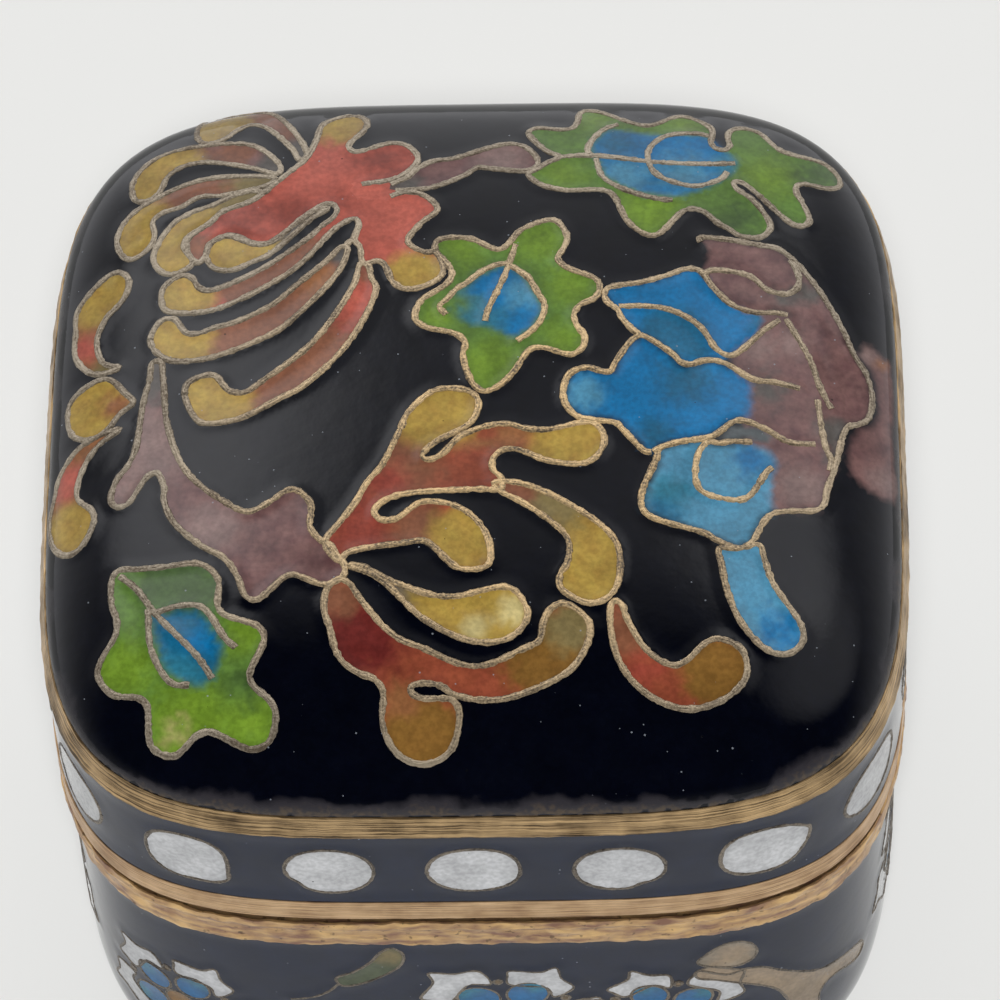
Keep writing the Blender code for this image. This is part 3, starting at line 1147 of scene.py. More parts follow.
def draw_chrysanthemum(picture: Picture) -> None:
    """The large flower at the back left: a coral body with long petals that end in yellow bulbs.

    Args:
        picture: where it is drawn.
    """
    picture.cell(Tone.CORAL, (
        (-4.9, 15.45), (-4.1, 15.75), (-3.1, 15.6), (-2.1, 14.4), (-3.1, 13.25), (-3.8, 11.9), (-2.75, 11.1),
        (-2.2, 11.1), (-1.7, 9.75), (-2, 9.1), (-3.25, 8.45), (-4, 8.45), (-4.6, 8.9), (-5.2, 10.3),
        (-5.6, 10.5), (-6.35, 10.3), (-6.6, 11.6), (-6.95, 12.1), (-6.7, 13.3), (-6.9, 13.75), (-7.9, 13.2),
        (-9.75, 10.8), (-11, 9.6), (-15, 7.5), (-17.25, 7.5), (-18, 7.9), (-18.1, 9.4), (-17, 10.2),
        (-16.4, 9.9), (-16, 9.2), (-15.4, 8.9), (-12.5, 10.1), (-9.6, 12.4), (-8.8, 13.3), (-8.2, 13.9),
        (-8, 14.5), (-8.35, 14.95), (-8.9, 14.85), (-11.9, 12.15), (-12.75, 12.1), (-14.2, 12.85),
        (-15.45, 12.3), (-15.65, 11.5), (-16.1, 10.95), (-16.85, 12.6), (-15.4, 14), (-14.8, 14.7),
        (-13.1, 15.4), (-11, 17.5), (-9.9, 18.8), (-9.4, 20.3), (-9, 21.9), (-7.5, 22.7), (-6.75, 22.5),
        (-6.4, 21.9), (-6.6, 21.1), (-7.45, 19.7), (-7.1, 19.2), (-5, 19.9), (-4.1, 19.75), (-3.3, 18.5),
        (-4.4, 17), (-6.6, 16.45),
    ), Drop(-8.1, 21.9, 1.9, Tone.YELLOW, 1.4), Drop(-3.3, 9.4, 1.9, Tone.YELLOW, 1.2),
       Drop(-16.9, 8.8, 2.1, Tone.YELLOW), Drop(-13.2, 8.9, 1.6, Tone.RUST, 1.2),
       Drop(-11.2, 10.2, 1.6, Tone.RUST, 1.6), Drop(-9.8, 11.6, 1.3, Tone.RUST, 1.6),
       Drop(-13.9, 13.6, 1.4, Tone.RED, 2.2), Drop(-10.9, 14.4, 1.5, Tone.RED, 2.4),
       Drop(-8, 15.8, 0.7, Tone.RED, 1.5), Drop(-16.3, 12, 1.2, Tone.RUST, 1.5),
       Drop(-9.4, 17.4, 1.6, Tone.PINK, 2.5), Drop(-5, 18.4, 1.5, Tone.RED, 2.5),
       Drop(-4.6, 13.4, 1.8, Tone.PINK, 2.5), edge=Edge.OPEN)
    picture.cell(Tone.PINK, (
        (-7.2, 16.6), (-6.4, 16.6), (-5, 16.55), (-4.2, 15.95), (-5, 15.2), (-7, 15.5),
    ), edge=Edge.BARE)
    picture.cell(Tone.RUST, (
        (-16.2, 23.4), (-14.8, 23.7), (-13.2, 23.8), (-12.1, 23.3), (-9.9, 19), (-10.3, 18.6), (-10.8, 19.6),
        (-12.5, 21.8), (-13.3, 22.15), (-14.1, 21.7), (-15, 20.8), (-16, 20.6), (-16.55, 21.3),
    ), Drop(-15.4, 22.4, 2.1, Tone.YELLOW), Drop(-10.3, 19.4, 1.2, Tone.SMOKE))
    picture.cell(Tone.MAUVE, (
        (-20, 16.4), (-20.3, 17.5), (-20.1, 18.5), (-19.25, 19.6), (-18, 20.2), (-14.5, 20.4), (-13, 20),
        (-11.4, 18), (-11.6, 17.5), (-13.1, 18.1), (-16.2, 18.9), (-17.5, 18.6), (-18.2, 17.9), (-18.6, 16.8),
        (-19.3, 16.2),
    ), Drop(-18.6, 18.1, 2.9, Tone.YELLOW), Drop(-14.2, 19.6, 1.4, Tone.RUST, 1.5),
       Drop(-11.8, 18.2, 1.2, Tone.SMOKE))
    picture.cell(Tone.RUST, (
        (-11.7, 17.1), (-15, 17.5), (-16.8, 17.2), (-19.5, 15.9), (-20.5, 15), (-21, 13.8), (-20.9, 12.8),
        (-20.4, 12), (-19.9, 11.9), (-19, 12.6), (-18.75, 13.4), (-18.9, 14.5), (-18.5, 15), (-17.2, 15.4),
        (-16.2, 16), (-14.7, 16), (-12.2, 16.6),
    ), Drop(-20, 13.8, 2.6, Tone.YELLOW), Drop(-12.4, 16.9, 2, Tone.OLIVE, 1.4))
    picture.cell(Tone.YELLOW, (
        (-16.4, 11), (-17.4, 10.35), (-18.1, 10.5), (-18.65, 11.2), (-18.75, 12.1), (-17.7, 14.1),
        (-16.6, 14.85), (-15.3, 15.3), (-14.2, 15.9), (-13, 16.2), (-12.4, 16), (-13.1, 15.4), (-14.8, 14.7),
        (-15.4, 14), (-16.9, 12.8), (-16.95, 12.2),
    ), Drop(-13.4, 15.6, 1.9, Tone.OLIVE, 1.2))
    picture.cell(Tone.YELLOW, (
        (-14.4, 12.8), (-15.1, 12.6), (-15.6, 11.9), (-15.5, 11), (-15, 10.4), (-14, 10.25), (-12.9, 10.75),
        (-11.9, 11.25), (-9.4, 13.9), (-8.5, 14.6), (-9.4, 14.4), (-11.9, 12.1), (-12.75, 12.05),
    ), Drop(-9.8, 13.4, 2.2, Tone.SMOKE, 1.4))
    picture.cell(Tone.RUST, (
        (-18.75, 5.75), (-17.75, 4.3), (-15.5, 4.06), (-11.6, 5.5), (-10.5, 6.4), (-7.75, 9.9), (-7.35, 11.6),
        (-7.7, 11.6), (-8.4, 10.75), (-10.25, 8.9), (-11.6, 7.6), (-13.75, 6.5), (-15, 6.2), (-15.9, 5.9),
        (-16.6, 6), (-17.4, 7.1), (-18.1, 7.1),
    ), Drop(-17.2, 5.5, 2.2, Tone.YELLOW), Drop(-8.8, 9.3, 1.4, Tone.ORANGE, 2),
       Drop(-7.6, 10.9, 0.8, Tone.SMOKE))
    picture.cell(Tone.RUST, (
        (-16.6, 1.75), (-16.4, 2.5), (-15, 2.9), (-14, 1.7), (-13.1, 1.5), (-12.25, 2.1), (-9.25, 4.75),
        (-6.9, 8.8), (-6.5, 10.4), (-6.1, 10.2), (-5.9, 9.3), (-5.6, 8.5), (-7.25, 4.5), (-9.9, 1.6),
        (-11, 1), (-13.4, -0.3), (-15.5, -0.4), (-16, 0.1),
    ), Drop(-14.9, 1.1, 2.3, Tone.YELLOW), Drop(-6.6, 7.4, 1.8, Tone.CORAL, 2.4))
    picture.strand((-7.4, 11.7), (-7.2, 12), (-6.95, 12.1))


def draw_stems_and_buds(picture: Picture) -> None:
    """The mauve stems, and the buds down the left edge.

    Args:
        picture: where it is drawn.
    """
    picture.cell(Tone.MAUVE, (
        (-4.9, 16.4), (-3.9, 17), (-3.4, 17.6), (-2.5, 18.25), (-1.25, 18.5), (2, 19.7), (3, 19.4), (3.8, 18),
        (3.25, 17.4), (1, 17.6), (0.25, 17.7), (-0.5, 17.1), (-2.5, 16.1), (-4.6, 15.9),
    ), Drop(1.6, 18.5, 1.5, Tone.LILAC, 2), Drop(-3.9, 16.3, 0.9, Tone.SMOKE), edge=Edge.OPEN)
    picture.cell(Tone.ORANGE, (
        (-20.2, 10.4), (-20.6, 11), (-21.2, 11.1), (-23.2, 9.1), (-23.3, 7.5), (-23.2, 5.6), (-22.2, 4.2),
        (-21.5, 4), (-20.5, 4.2), (-21.2, 4.5), (-21.6, 4.9), (-21.95, 6.5), (-21.4, 8), (-20.8, 8.6),
        (-20.3, 9.4),
    ), Drop(-21.6, 9.4, 2.1, Tone.YELLOW), Drop(-22.6, 6, 1, Tone.CORAL, 1.5),
       Drop(-21.2, 4.2, 1, Tone.OLIVE))
    picture.cell(Tone.YELLOW, (
        (-22.9, 3.1), (-23.5, 2.3), (-23.3, 0.4), (-22.6, -0.3), (-21.8, -0.4), (-21, 0.1), (-20.4, 0.9),
        (-19.6, 1.6), (-20.1, 2.3), (-21.3, 3.6),
    ), Drop(-20.6, 1.5, 0.9, Tone.ORANGE))
    picture.cell(Tone.ORANGE, (
        (-20.3, -0.1), (-21.7, -1.1), (-22.6, -2.8), (-22.7, -4.3), (-21.8, -5.4), (-21.65, -6.1),
        (-22.2, -7.5), (-22.8, -8), (-23.4, -7.9), (-24, -7.2), (-24.4, -5.4), (-24.1, -3.4), (-23.9, -2.4),
        (-22.7, -0.8),
    ), Drop(-23, -6.4, 2, Tone.YELLOW), Drop(-23.2, -3, 1.1, Tone.CORAL, 1.5))
    picture.cell(Tone.MAUVE, (
        (-18.55, 4.2), (-18.7, 3), (-19, 1.6), (-19.4, -1.8), (-19.8, -2.8), (-20.4, -3.6), (-20.7, -5),
        (-20.3, -5.5), (-19.7, -5.4), (-18.6, -3.7), (-18.1, -3.5), (-17.6, -4.6), (-17.6, -5.4), (-17, -7),
        (-15.3, -8.8), (-14, -9.7), (-13.2, -11), (-12.7, -12.3), (-12.1, -12.55), (-10.6, -11.2),
        (-10.1, -11), (-8.2, -11.7), (-7.2, -11.2), (-7.1, -10.6), (-7.6, -9.8), (-8, -9.1), (-8.4, -8.9),
        (-9.1, -8), (-9.15, -6.3), (-10.1, -5.35), (-10.7, -5.5), (-11.3, -6), (-12.7, -6.7), (-14.1, -5.9),
        (-16.3, -3.7), (-17.5, -0.5), (-17.9, 3), (-18.1, 4.2),
    ), Drop(-14.8, -7.6, 1.6, Tone.LILAC, 2), Drop(-18.5, -1.5, 2.6, Tone.LILAC, 2.5),
       Drop(-18.3, 3.2, 1.6, Tone.SMOKE, 2), Drop(-19.6, -4.4, 1, Tone.LILAC, 1.5))


def draw_blooming_spray(picture: Picture) -> None:
    """The open flower at the front: curling petals from one node, red at the root and yellow at the tips.

    Args:
        picture: where it is drawn.
    """
    picture.cell(Tone.BRICK, (
        (-8.25, -9), (-7.4, -7.6), (-6.6, -6.4), (-5.9, -5), (-5.1, -3.9), (-4.1, -1.5), (-3.6, -0.25),
        (-2, 1.25), (-0.1, 1.1), (0.4, 0.4), (0, -1), (-1.9, -2.25), (-2.6, -2.9), (-2.75, -3.4),
        (-2.4, -3.55), (-1.75, -3.25), (-0.5, -1.9), (1.4, -1.2), (2.25, -1.2), (3.1, -1.5), (4.25, -1.6),
        (6.9, -1.1), (7.5, -1.7), (7.6, -2.5), (7.2, -3.4), (6.5, -3.9), (4.5, -3.75), (2.5, -2.9),
        (1.75, -3), (1.25, -3.6), (1.25, -4.25), (1.75, -4.9), (1.7, -5.6), (0.5, -5.6), (-4, -5.9),
        (-5.1, -6.4), (-5.5, -7), (-5.1, -7.55), (-4.25, -7.5), (-2.75, -6.4), (-0.5, -6.9), (0.9, -8.6),
        (1, -10.6), (-0.6, -10.8), (-2.6, -9), (-3.75, -9.1), (-7, -9.7), (-7.4, -10.2),
    ), Drop(-4, -4, 2.2, Tone.RUST, 2.4), Drop(-2, -0.2, 2.7, Tone.YELLOW, 1.2),
       Drop(-4.8, -5, 1.2, Tone.RED, 1.6), Drop(6.2, -2.6, 3, Tone.YELLOW, 1.2),
       Drop(2.3, -2, 1, Tone.ORANGE, 1.5), Drop(-6.2, -7.9, 1.8, Tone.RED, 2),
       Drop(-3, -8.1, 1.6, Tone.RUST, 1.6), Drop(-0.2, -8.8, 2.2, Tone.YELLOW, 1.2))
    picture.cell(Tone.ORANGE, (
        (-1.6, -2.95), (-0.9, -2.3), (0, -2), (1, -1.95), (1.4, -2.4), (0.9, -2.9), (-0.2, -3.1),
        (-1.1, -3.2),
    ), edge=Edge.BARE, soft=0.5)
    picture.cell(Tone.OLIVE, (
        (1.3, -5.2), (2.9, -5.25), (6.25, -7.1), (7.9, -8.6), (8.4, -9.6), (8.3, -12), (7.6, -12.9),
        (6.6, -13.1), (5.1, -12.1), (5.1, -11.25), (5.5, -10.5), (5.5, -8.9), (2.9, -6.5), (1.75, -5.8),
    ), Drop(6.8, -10.6, 2.9, Tone.YELLOW, 2), Drop(2.4, -5.7, 1.4, Tone.RUST, 1.4))
    picture.cell(Tone.YELLOW, (
        (-6.9, -10.5), (-6.1, -10.6), (-4.4, -11.6), (-2.1, -12.5), (-0.9, -12.6), (2.25, -12.1),
        (3.25, -13.6), (3, -14.5), (2.25, -15.2), (1.1, -15.5), (-0.25, -15.3), (-2.6, -14), (-5.25, -11.3),
    ), Drop(-5, -11.5, 1.8, Tone.SMOKE, 2), Drop(2.4, -13.6, 0.9, Tone.CREAM, 1.2),
       Drop(0.3, -14.6, 0.7, Tone.CREAM))
    picture.cell(Tone.BRICK, (
        (-8.1, -12), (-8.25, -13.25), (-7.9, -14.5), (-7.6, -15.75), (-7.1, -16.6), (-6.25, -17.25),
        (-5.4, -17.6), (-4.9, -18.25), (-4.9, -20.1), (-4.6, -21.1), (-3.9, -22), (-2.9, -22.4),
        (-1.9, -22.3), (-1, -21.6), (-0.6, -19.6), (-1, -18.9), (-2.6, -18.8), (-3.25, -18.5), (-3.3, -18.1),
        (-2.6, -17.9), (-1.6, -18.1), (-0.9, -18.6), (1.75, -18.9), (5.4, -17.4), (6.25, -16.4),
        (6.75, -15.1), (6.6, -14.1), (5.25, -13.1), (4.5, -13.5), (4.1, -14.4), (3.9, -15.4), (3, -15.9),
        (0.75, -16.9), (-0.5, -16.8), (-2.75, -15.75), (-3.9, -15.25), (-4.9, -14.4), (-6.25, -12.6),
        (-6.9, -11.6), (-7.5, -11.4),
    ), Drop(-6.2, -15, 2.6, Tone.BLOOD, 2), Drop(-7.4, -12.6, 1.2, Tone.RUST, 1.2),
       Drop(4.4, -16.4, 2.6, Tone.AMBER, 1.6), Drop(5.8, -14.6, 1.6, Tone.OLIVE, 1.4),
       Drop(-2.7, -21.2, 2.5, Tone.AMBER, 1.2), Drop(-3.9, -18.9, 1, Tone.ORANGE, 1.2))
    picture.cell(Tone.BRICK, (
        (8, -13.1), (8.1, -15.8), (8.9, -17.6), (10.3, -18.9), (12.2, -19.5), (14.2, -18.9), (15.5, -17.5),
        (15.3, -15.9), (14, -15.25), (13.3, -15.5), (12.1, -16.7), (11.4, -16.95), (10, -16.1), (8.8, -14),
        (8.6, -13.3), (8.3, -13),
    ), Drop(8.7, -15, 1.5, Tone.RUST, 1.5), Drop(9.6, -17.2, 0.9, Tone.RED, 1.4),
       Drop(14, -17.2, 2.2, Tone.AMBER, 1.2))


def draw_leaves(picture: Picture) -> None:
    """The three green leaves, each with a blue heart.

    Args:
        picture: where it is drawn.
    """
    picture.cell(Tone.GREEN, (
        (-20.4, -10.2), (-20.4, -12), (-20.1, -13), (-20.1, -13.9), (-21, -15.6), (-21.1, -16.3),
        (-20.2, -17.6), (-18.6, -18.1), (-18.2, -18.6), (-17.9, -20.9), (-16.6, -21.5), (-15.3, -20.5),
        (-14.7, -20.35), (-12.5, -21.4), (-11.8, -21.4), (-11.2, -21), (-10.9, -19.5), (-11.2, -18.8),
        (-12.2, -17.8), (-12.4, -17.2), (-11.6, -15), (-11.9, -14.3), (-14, -13.3), (-14.3, -12.7),
        (-14.3, -11.1), (-15.3, -10), (-17.5, -9.95), (-19, -9.9), (-20, -9.8),
    ), Drop(-16.4, -11.2, 2.4, Tone.PINE, 1.2), Drop(-19.6, -16.2, 1.8, Tone.LIME, 2.4),
       Drop(-15.6, -20, 2.6, Tone.LIME, 2.2), Drop(-12.2, -19.8, 1.6, Tone.LIME, 2),
       Drop(-12.8, -14.8, 1.2, Tone.LIME, 2), Drop(-12.6, -17.6, 1.1, Tone.PINE, 2.6),
       # The small cream drop is a painted highlight, a pale glow on the leaf near its front edge.
       Drop(-16.6, -20.3, 0.4, Tone.CREAM, 1.8))
    picture.cell(Tone.NAVY, (
        (-18.3, -12.7), (-17.8, -12.8), (-16.5, -12.6), (-15.2, -12.8), (-13.8, -14.9), (-13.7, -16),
        (-15, -18), (-17.2, -17), (-17.8, -16),
    ), Drop(-15.2, -15, 0.8, Tone.BLUE, 1.6), Drop(-16.4, -17.4, 1.6, Tone.TEAL, 1.6), edge=Edge.BARE,
       soft=0.7)
    picture.strand((-20, -10.2), (-19, -11.2), (-17.9, -12.9), (-15.3, -16), (-14.5, -17.3))
    picture.strand((-17.8, -12.9), (-16.5, -12.6), (-15.2, -12.8), (-13.8, -14.9), (-13.2, -15.5))
    picture.strand((-18.3, -12.6), (-18, -15.3), (-16.8, -17.4), (-15.8, -17.6))
    picture.cell(Tone.GREEN, (
        (-2.2, 11.25), (-2, 12), (-0.25, 12.1), (1.6, 11.25), (2.9, 12.75), (4.75, 13.4), (5.5, 12.1),
        (5.3, 11.25), (4.95, 10.5), (5.4, 9.9), (7.25, 8.9), (7.4, 8.25), (7.1, 7.6), (6.25, 7.1), (5.9, 6.4),
        (6.1, 5.6), (6.5, 4.9), (6.4, 4.1), (5.75, 3.6), (4.1, 4.1), (3.4, 4), (2.4, 2.4), (1.6, 1.5),
        (0.75, 1.1), (0.1, 1.6), (-0.5, 3.6), (-0.4, 4.5), (-0.9, 5.1), (-2.75, 5.7), (-3.3, 6.25), (-3, 7.5),
        (-1.5, 8.75), (-1.2, 9.5), (-1.6, 10.4),
    ), Drop(-0.6, 11.3, 1.3, Tone.LIME, 1.8), Drop(3.9, 11.9, 1.6, Tone.LIME, 2.2),
       Drop(5.8, 8.6, 1.4, Tone.LIME, 2), Drop(1, 2.8, 1.8, Tone.LIME, 2), Drop(5.2, 4.6, 1.2, Tone.LIME, 2),
       Drop(-2, 6.4, 1, Tone.LIME, 1.6))
    picture.cell(Tone.BLUE, (
        (2, 10.2), (0.5, 9.6), (-0.4, 8.75), (-0.9, 8.4), (-1.5, 7.6), (-1.9, 7.1), (-1.4, 6.3), (-0.4, 5.7),
        (0.8, 5.4), (2.6, 4.7), (4, 6.1), (4.2, 7.1), (3.75, 8.1), (3.25, 9.1),
    ), Drop(-0.9, 6.9, 1.2, Tone.GREEN, 1.4), Drop(0.6, 6.2, 1.2, Tone.TEAL, 1.8),
       Drop(3, 8, 1, Tone.SKY, 1.6), edge=Edge.BARE, soft=0.5)
    picture.strand(
        (2, 10.2), (1.4, 10.1), (0.5, 9.6), (-0.4, 8.75), (-0.9, 8.4), (-1.5, 7.6), (-1.9, 7.1), (-1.5, 6.5),
    )
    picture.strand((2, 10.2), (3.25, 9.1), (3.75, 8.1), (4.2, 7.1), (4, 6.1), (3.4, 5.25), (2.6, 4.6))
    picture.strand((2.5, 11.6), (1.9, 9.4), (0.9, 6.75), (0.75, 6))
    picture.cell(Tone.GREEN, (
        (3.2, 20.7), (3.6, 21.1), (5.2, 20.95), (5.8, 21.1), (6.1, 21.7), (6.2, 22.5), (6.5, 22.85),
        (7.2, 22.8), (10.2, 21.3), (12, 22.25), (12.7, 22.2), (13.9, 21.3), (14.1, 20.8), (14, 19.8),
        (14.3, 19.3), (14.8, 19.2), (15.1, 19.6), (15, 20.3), (15.1, 20.9), (15.6, 21.3), (16.3, 21.3),
        (16.9, 21), (18.2, 19.5), (20.8, 18.9), (21.6, 17.8), (21.5, 17.2), (20.9, 16.85), (19.3, 16.85),
        (19, 16.6), (19, 16), (19.3, 15.4), (19.7, 14), (19.3, 13.55), (18.7, 13.6), (15.8, 16.5),
        (15.3, 16.55), (15.4, 16.1), (16.4, 15.2), (17.4, 13.2), (16.8, 12.4), (15.6, 12.4), (14.9, 12.9),
        (14.4, 13.2), (13.5, 14.1), (12.9, 14.3), (12.3, 14.1), (10.8, 12.3), (10.2, 12.25), (9.1, 13.2),
        (8.2, 15.3), (7.7, 15.7), (5.4, 15.75), (4, 16.2), (3.2, 17.1), (3.7, 17.5), (4.3, 18), (5, 18.5),
        (4.3, 19),
    ), Drop(10.2, 14.2, 1.9, Tone.LIME, 2), Drop(5.2, 17, 1.2, Tone.LIME, 2),
       Drop(17.4, 17.2, 1.6, Tone.LIME, 2.4), Drop(20.4, 17.9, 1.2, Tone.PINE, 2),
       Drop(15.6, 13.6, 1.2, Tone.PINE, 2), Drop(7.2, 22, 1, Tone.LIME, 2),
       Drop(12.4, 21.5, 0.8, Tone.LIME, 2))
    picture.cell(Tone.BLUE, (
        (6.7, 19.2), (7.9, 21.1), (10.2, 20.7), (11.3, 20.6), (12.6, 20.7), (13.9, 20.4), (14.9, 19.4),
        (15.7, 18.4), (15.6, 17.4), (12.8, 15.3), (10.2, 15.2), (7.6, 16.8), (7.1, 18.2),
    ), Drop(15.1, 17.8, 0.9, Tone.TEAL, 1.4), Drop(12.4, 17.2, 1.4, Tone.SKY, 2),
       Drop(9, 17, 1.2, Tone.SKY, 2), Drop(8.3, 19.8, 1, Tone.NAVY, 1.8), edge=Edge.BARE, soft=0.5)
    picture.strand((5, 18.5), (6.8, 18.6), (11, 18), (14, 17.95), (15.4, 18.1))
    picture.strand((6.8, 18.7), (6.7, 19.2), (7.3, 20.5), (7.9, 21.1), (8.5, 21.4))
    picture.strand((7.2, 18.3), (7.6, 16.8), (9, 15.7), (11, 15), (11.7, 14.95))
    picture.strand(
        (13.9, 20.4), (13.2, 20.6), (11.3, 20.3), (10.3, 19), (10.5, 17.4), (11, 16.8), (12.5, 16.15),
        (13.3, 16.15), (14.6, 16.8), (14.9, 17.3),
    )


def draw_peony(picture: Picture) -> None:
    """The flower at the right: blue petals that fade into a large mauve one, which reaches the lid's edge.

    Args:
        picture: where it is drawn.
    """
    picture.cell(Tone.MAUVE, (
        (22.2, 4.9), (22.9, 6), (23.9, 5.3), (24.5, 5.2), (24.6, 2), (24.6, -2), (24.5, -4.6), (23.5, -4.9),
        (21.8, -3.8), (21.4, -2.4), (22.1, -0.2), (22.8, 0.2), (23.2, 1), (23, 3.6),
    ), Drop(22.7, 5, 0.8, Tone.LILAC, 1), Drop(23.7, 4.6, 0.3, Tone.ORANGE, 0.8),
       Drop(23.6, -3.6, 0.9, Tone.LILAC, 2), edge=Edge.BARE, soft=0.5)
    picture.cell(Tone.MAUVE, (
        (13.3, 12.1), (16.8, 11.75), (17.9, 11.6), (20.6, 8.2), (22.1, 4.8), (22.8, 3.6), (23.1, 2),
        (22.8, 0.5), (22.3, 0), (21.6, -0.4), (21.15, -1.9), (21.1, -2.7), (20.6, -4.2), (19.8, -6.35),
        (18.2, -6.7), (17.4, -6.9), (16.6, -6.4), (15.5, -2), (15.3, 2), (14.8, 4), (15, 7), (13.3, 9.6),
        (13.6, 10.4), (13.6, 11.2),
    ), Drop(20.7, -0.9, 1, Tone.SMOKE, 1.2), Drop(20.9, -2.6, 0.6, Tone.SMOKE, 1),
       Drop(19.4, 8.6, 0.7, Tone.SMOKE, 1.4), Drop(18.1, 8, 0.6, Tone.SMOKE, 1.4),
       Drop(16.6, 4.4, 0.9, Tone.LILAC, 1.8), Drop(18.6, 5, 0.8, Tone.LILAC, 1.6),
       Drop(18.9, -5, 1.3, Tone.LILAC, 1.8), Drop(17, 1.6, 0.9, Tone.SMOKE, 1.8), edge=Edge.BARE, soft=0.3)
    picture.cell(Tone.BLUE, (
        (7.65, 7.8), (7.8, 8.25), (10.6, 9), (12.5, 9.8), (13.1, 9.75), (15, 7.45), (17, 6.6), (16.8, 6),
        (16.5, 5.3), (15.2, 3.95), (14.8, 3.75), (14.9, 3.1), (14.4, 3.3), (13.4, 3.35), (12.5, 3),
        (10.2, 4.8), (9.7, 5), (8.6, 6.3), (8.45, 6.75), (7.8, 7.4),
    ), Drop(16.8, 6.2, 0.6, Tone.NAVY, 1), Drop(11.6, 5.2, 1.9, Tone.NAVY, 1),
       Drop(13, 4.3, 0.7, Tone.NAVY, 1), edge=Edge.BARE, soft=0.3)
    picture.cell(Tone.BLUE, (
        (6.6, 2.7), (8, 2.45), (8.2, 2.9), (9.6, 4.95), (11.7, 3.6), (12, 3.2), (12.5, 3), (13.5, 3.35),
        (14.5, 3.25), (15.6, 2.6), (16.2, 2.2), (16.2, -0.9), (15.6, -0.75), (15, -0.9), (13.8, -1.9),
        (12, -2.35), (10.8, -2.8), (10.4, -3.15), (10, -3.15), (8.3, -1.15), (6.1, -0.7), (5.3, 0.5),
        (5.6, 2.2),
    ), Drop(17.2, 1, 1, Tone.MAUVE, 1), Drop(17, 2.6, 1, Tone.MAUVE, 1), Drop(16.9, -0.4, 1, Tone.MAUVE, 1),
       Drop(6.4, 0.9, 1.1, Tone.SKY, 1.4), Drop(10.6, -1.8, 0.9, Tone.NAVY, 1.6),
       Drop(12.4, 2, 1.4, Tone.NAVY, 2.6), edge=Edge.BARE, soft=0.5)
    picture.cell(Tone.SLATE, (
        (14.2, -1.75), (15.3, -0.95), (16.7, -1.15), (17.5, -1.8), (16.8, -2.2), (16.1, -2.1), (14.4, -2.2),
    ), edge=Edge.BARE, soft=0.3)
    picture.cell(Tone.SKY, (
        (10.6, -2.9), (11.2, -2.65), (13.2, -2.1), (14.2, -2.35), (16.2, -2.1), (17.7, -3), (17.4, -5),
        (17.5, -6), (17.3, -6.9), (16.7, -7.4), (15.8, -9.1), (15.2, -9.35), (14.5, -9.2), (13.4, -8.6),
        (10.1, -7.4), (9.75, -6.9), (9.7, -6.2), (10.6, -3.5),
    ), Drop(11.2, -5.8, 1.2, Tone.TEAL, 1.4), Drop(11, -7, 0.8, Tone.NAVY, 1.4),
       Drop(16.2, -3.4, 1, Tone.BLUE, 1.8), Drop(18.2, -4.6, 0.8, Tone.MAUVE, 1),
       Drop(18.1, -3, 0.7, Tone.MAUVE, 1), Drop(17.9, -6, 0.6, Tone.MAUVE, 1), edge=Edge.BARE, soft=0.5)
    picture.cell(Tone.SKY, (
        (14.1, -9.5), (14.2, -10.4), (14.6, -12.5), (15.4, -14.4), (16.7, -15.8), (17.6, -16), (18.3, -15.7),
        (18.75, -15), (18.7, -14.2), (17.1, -11.5), (16.6, -9.8), (16.4, -9.1), (15.2, -9.4),
    ), Drop(17.6, -14.6, 1.2, Tone.BLUE, 2))
    picture.strand(
        (10.3, -3.1), (10, -3.1), (8.7, -1.6), (8.3, -1.15), (6.1, -0.7), (5.3, 0.5), (5.6, 2.2), (6.6, 2.7),
        (7.6, 2.4), (8, 2.45), (8.2, 2.9), (9.2, 4.6), (9.65, 5), (9.3, 5.35), (8.6, 6.3), (8.45, 6.75),
        (7.75, 7.45), (7.8, 8.25), (9.8, 8.75), (11.2, 9.25), (12.5, 9.8), (13.2, 9.7), (14, 8.5), (15, 7.4),
        (16.3, 6.92), (17.6, 7), (18.3, 6.9),
    )
    picture.strand(
        (9.75, 5), (10.2, 4.8), (11.7, 3.6), (12, 3.2), (12.5, 3), (13.5, 3.35), (14.5, 3.25), (16.2, 2.2),
        (17.5, 2.1), (18.9, 1.85),
    )
    picture.strand(
        (8.5, 7), (10, 7.05), (11.5, 6.8), (13, 5.9), (13.7, 4.9), (14, 4.3), (14.9, 3.75), (17, 5.8),
        (17.8, 6.5),
    )
    picture.strand(
        (10.4, -3.1), (11, -2.7), (12, -2.35), (13.8, -1.9), (15, -0.85), (15.5, -0.7), (16.8, -1.15),
        (18.2, -1.95), (19.7, -1.9),
    )
    picture.strand(
        (10.7, -3), (10.6, -3.5), (9.7, -6.2), (10, -7.3), (13.4, -8.55), (13.9, -8.9), (15.2, -9.4),
        (15.9, -9), (17.1, -7), (19.7, -6.4), (20.15, -5.9), (20.3, -5), (20.8, -3.4), (21.6, -0.4),
        (22.3, 0), (22.8, 0.5), (23.1, 2), (22.8, 3.6), (22.1, 4.8), (21.4, 6.6), (19.6, 9.8), (17.9, 11.6),
        (16.8, 11.8), (13.2, 12.1), (13.3, 11.8),
    )
    picture.strand(
        (16.1, -2.15), (14.8, -2.2), (14.2, -2.35), (13.6, -2.3), (13, -3.1), (13, -5.5), (14.5, -6.15),
        (15.7, -6), (16.9, -4.1), (17.2, -3.8),
    )
    picture.strand(
        (13.4, 9.4), (13.9, 9.75), (15.8, 9.6), (16.4, 9.3), (17.1, 8.6), (18.2, 8.4), (18.7, 8.7), (19, 9.3),
        (18.9, 10.1), (18.5, 10.9),
    )
    picture.strand((18.2, 6.6), (19.5, 4), (20.1, 2), (20.7, 0.7))
    picture.strand((20.5, -3.6), (20.6, -2.8), (20.3, -2), (19.9, 1.2))


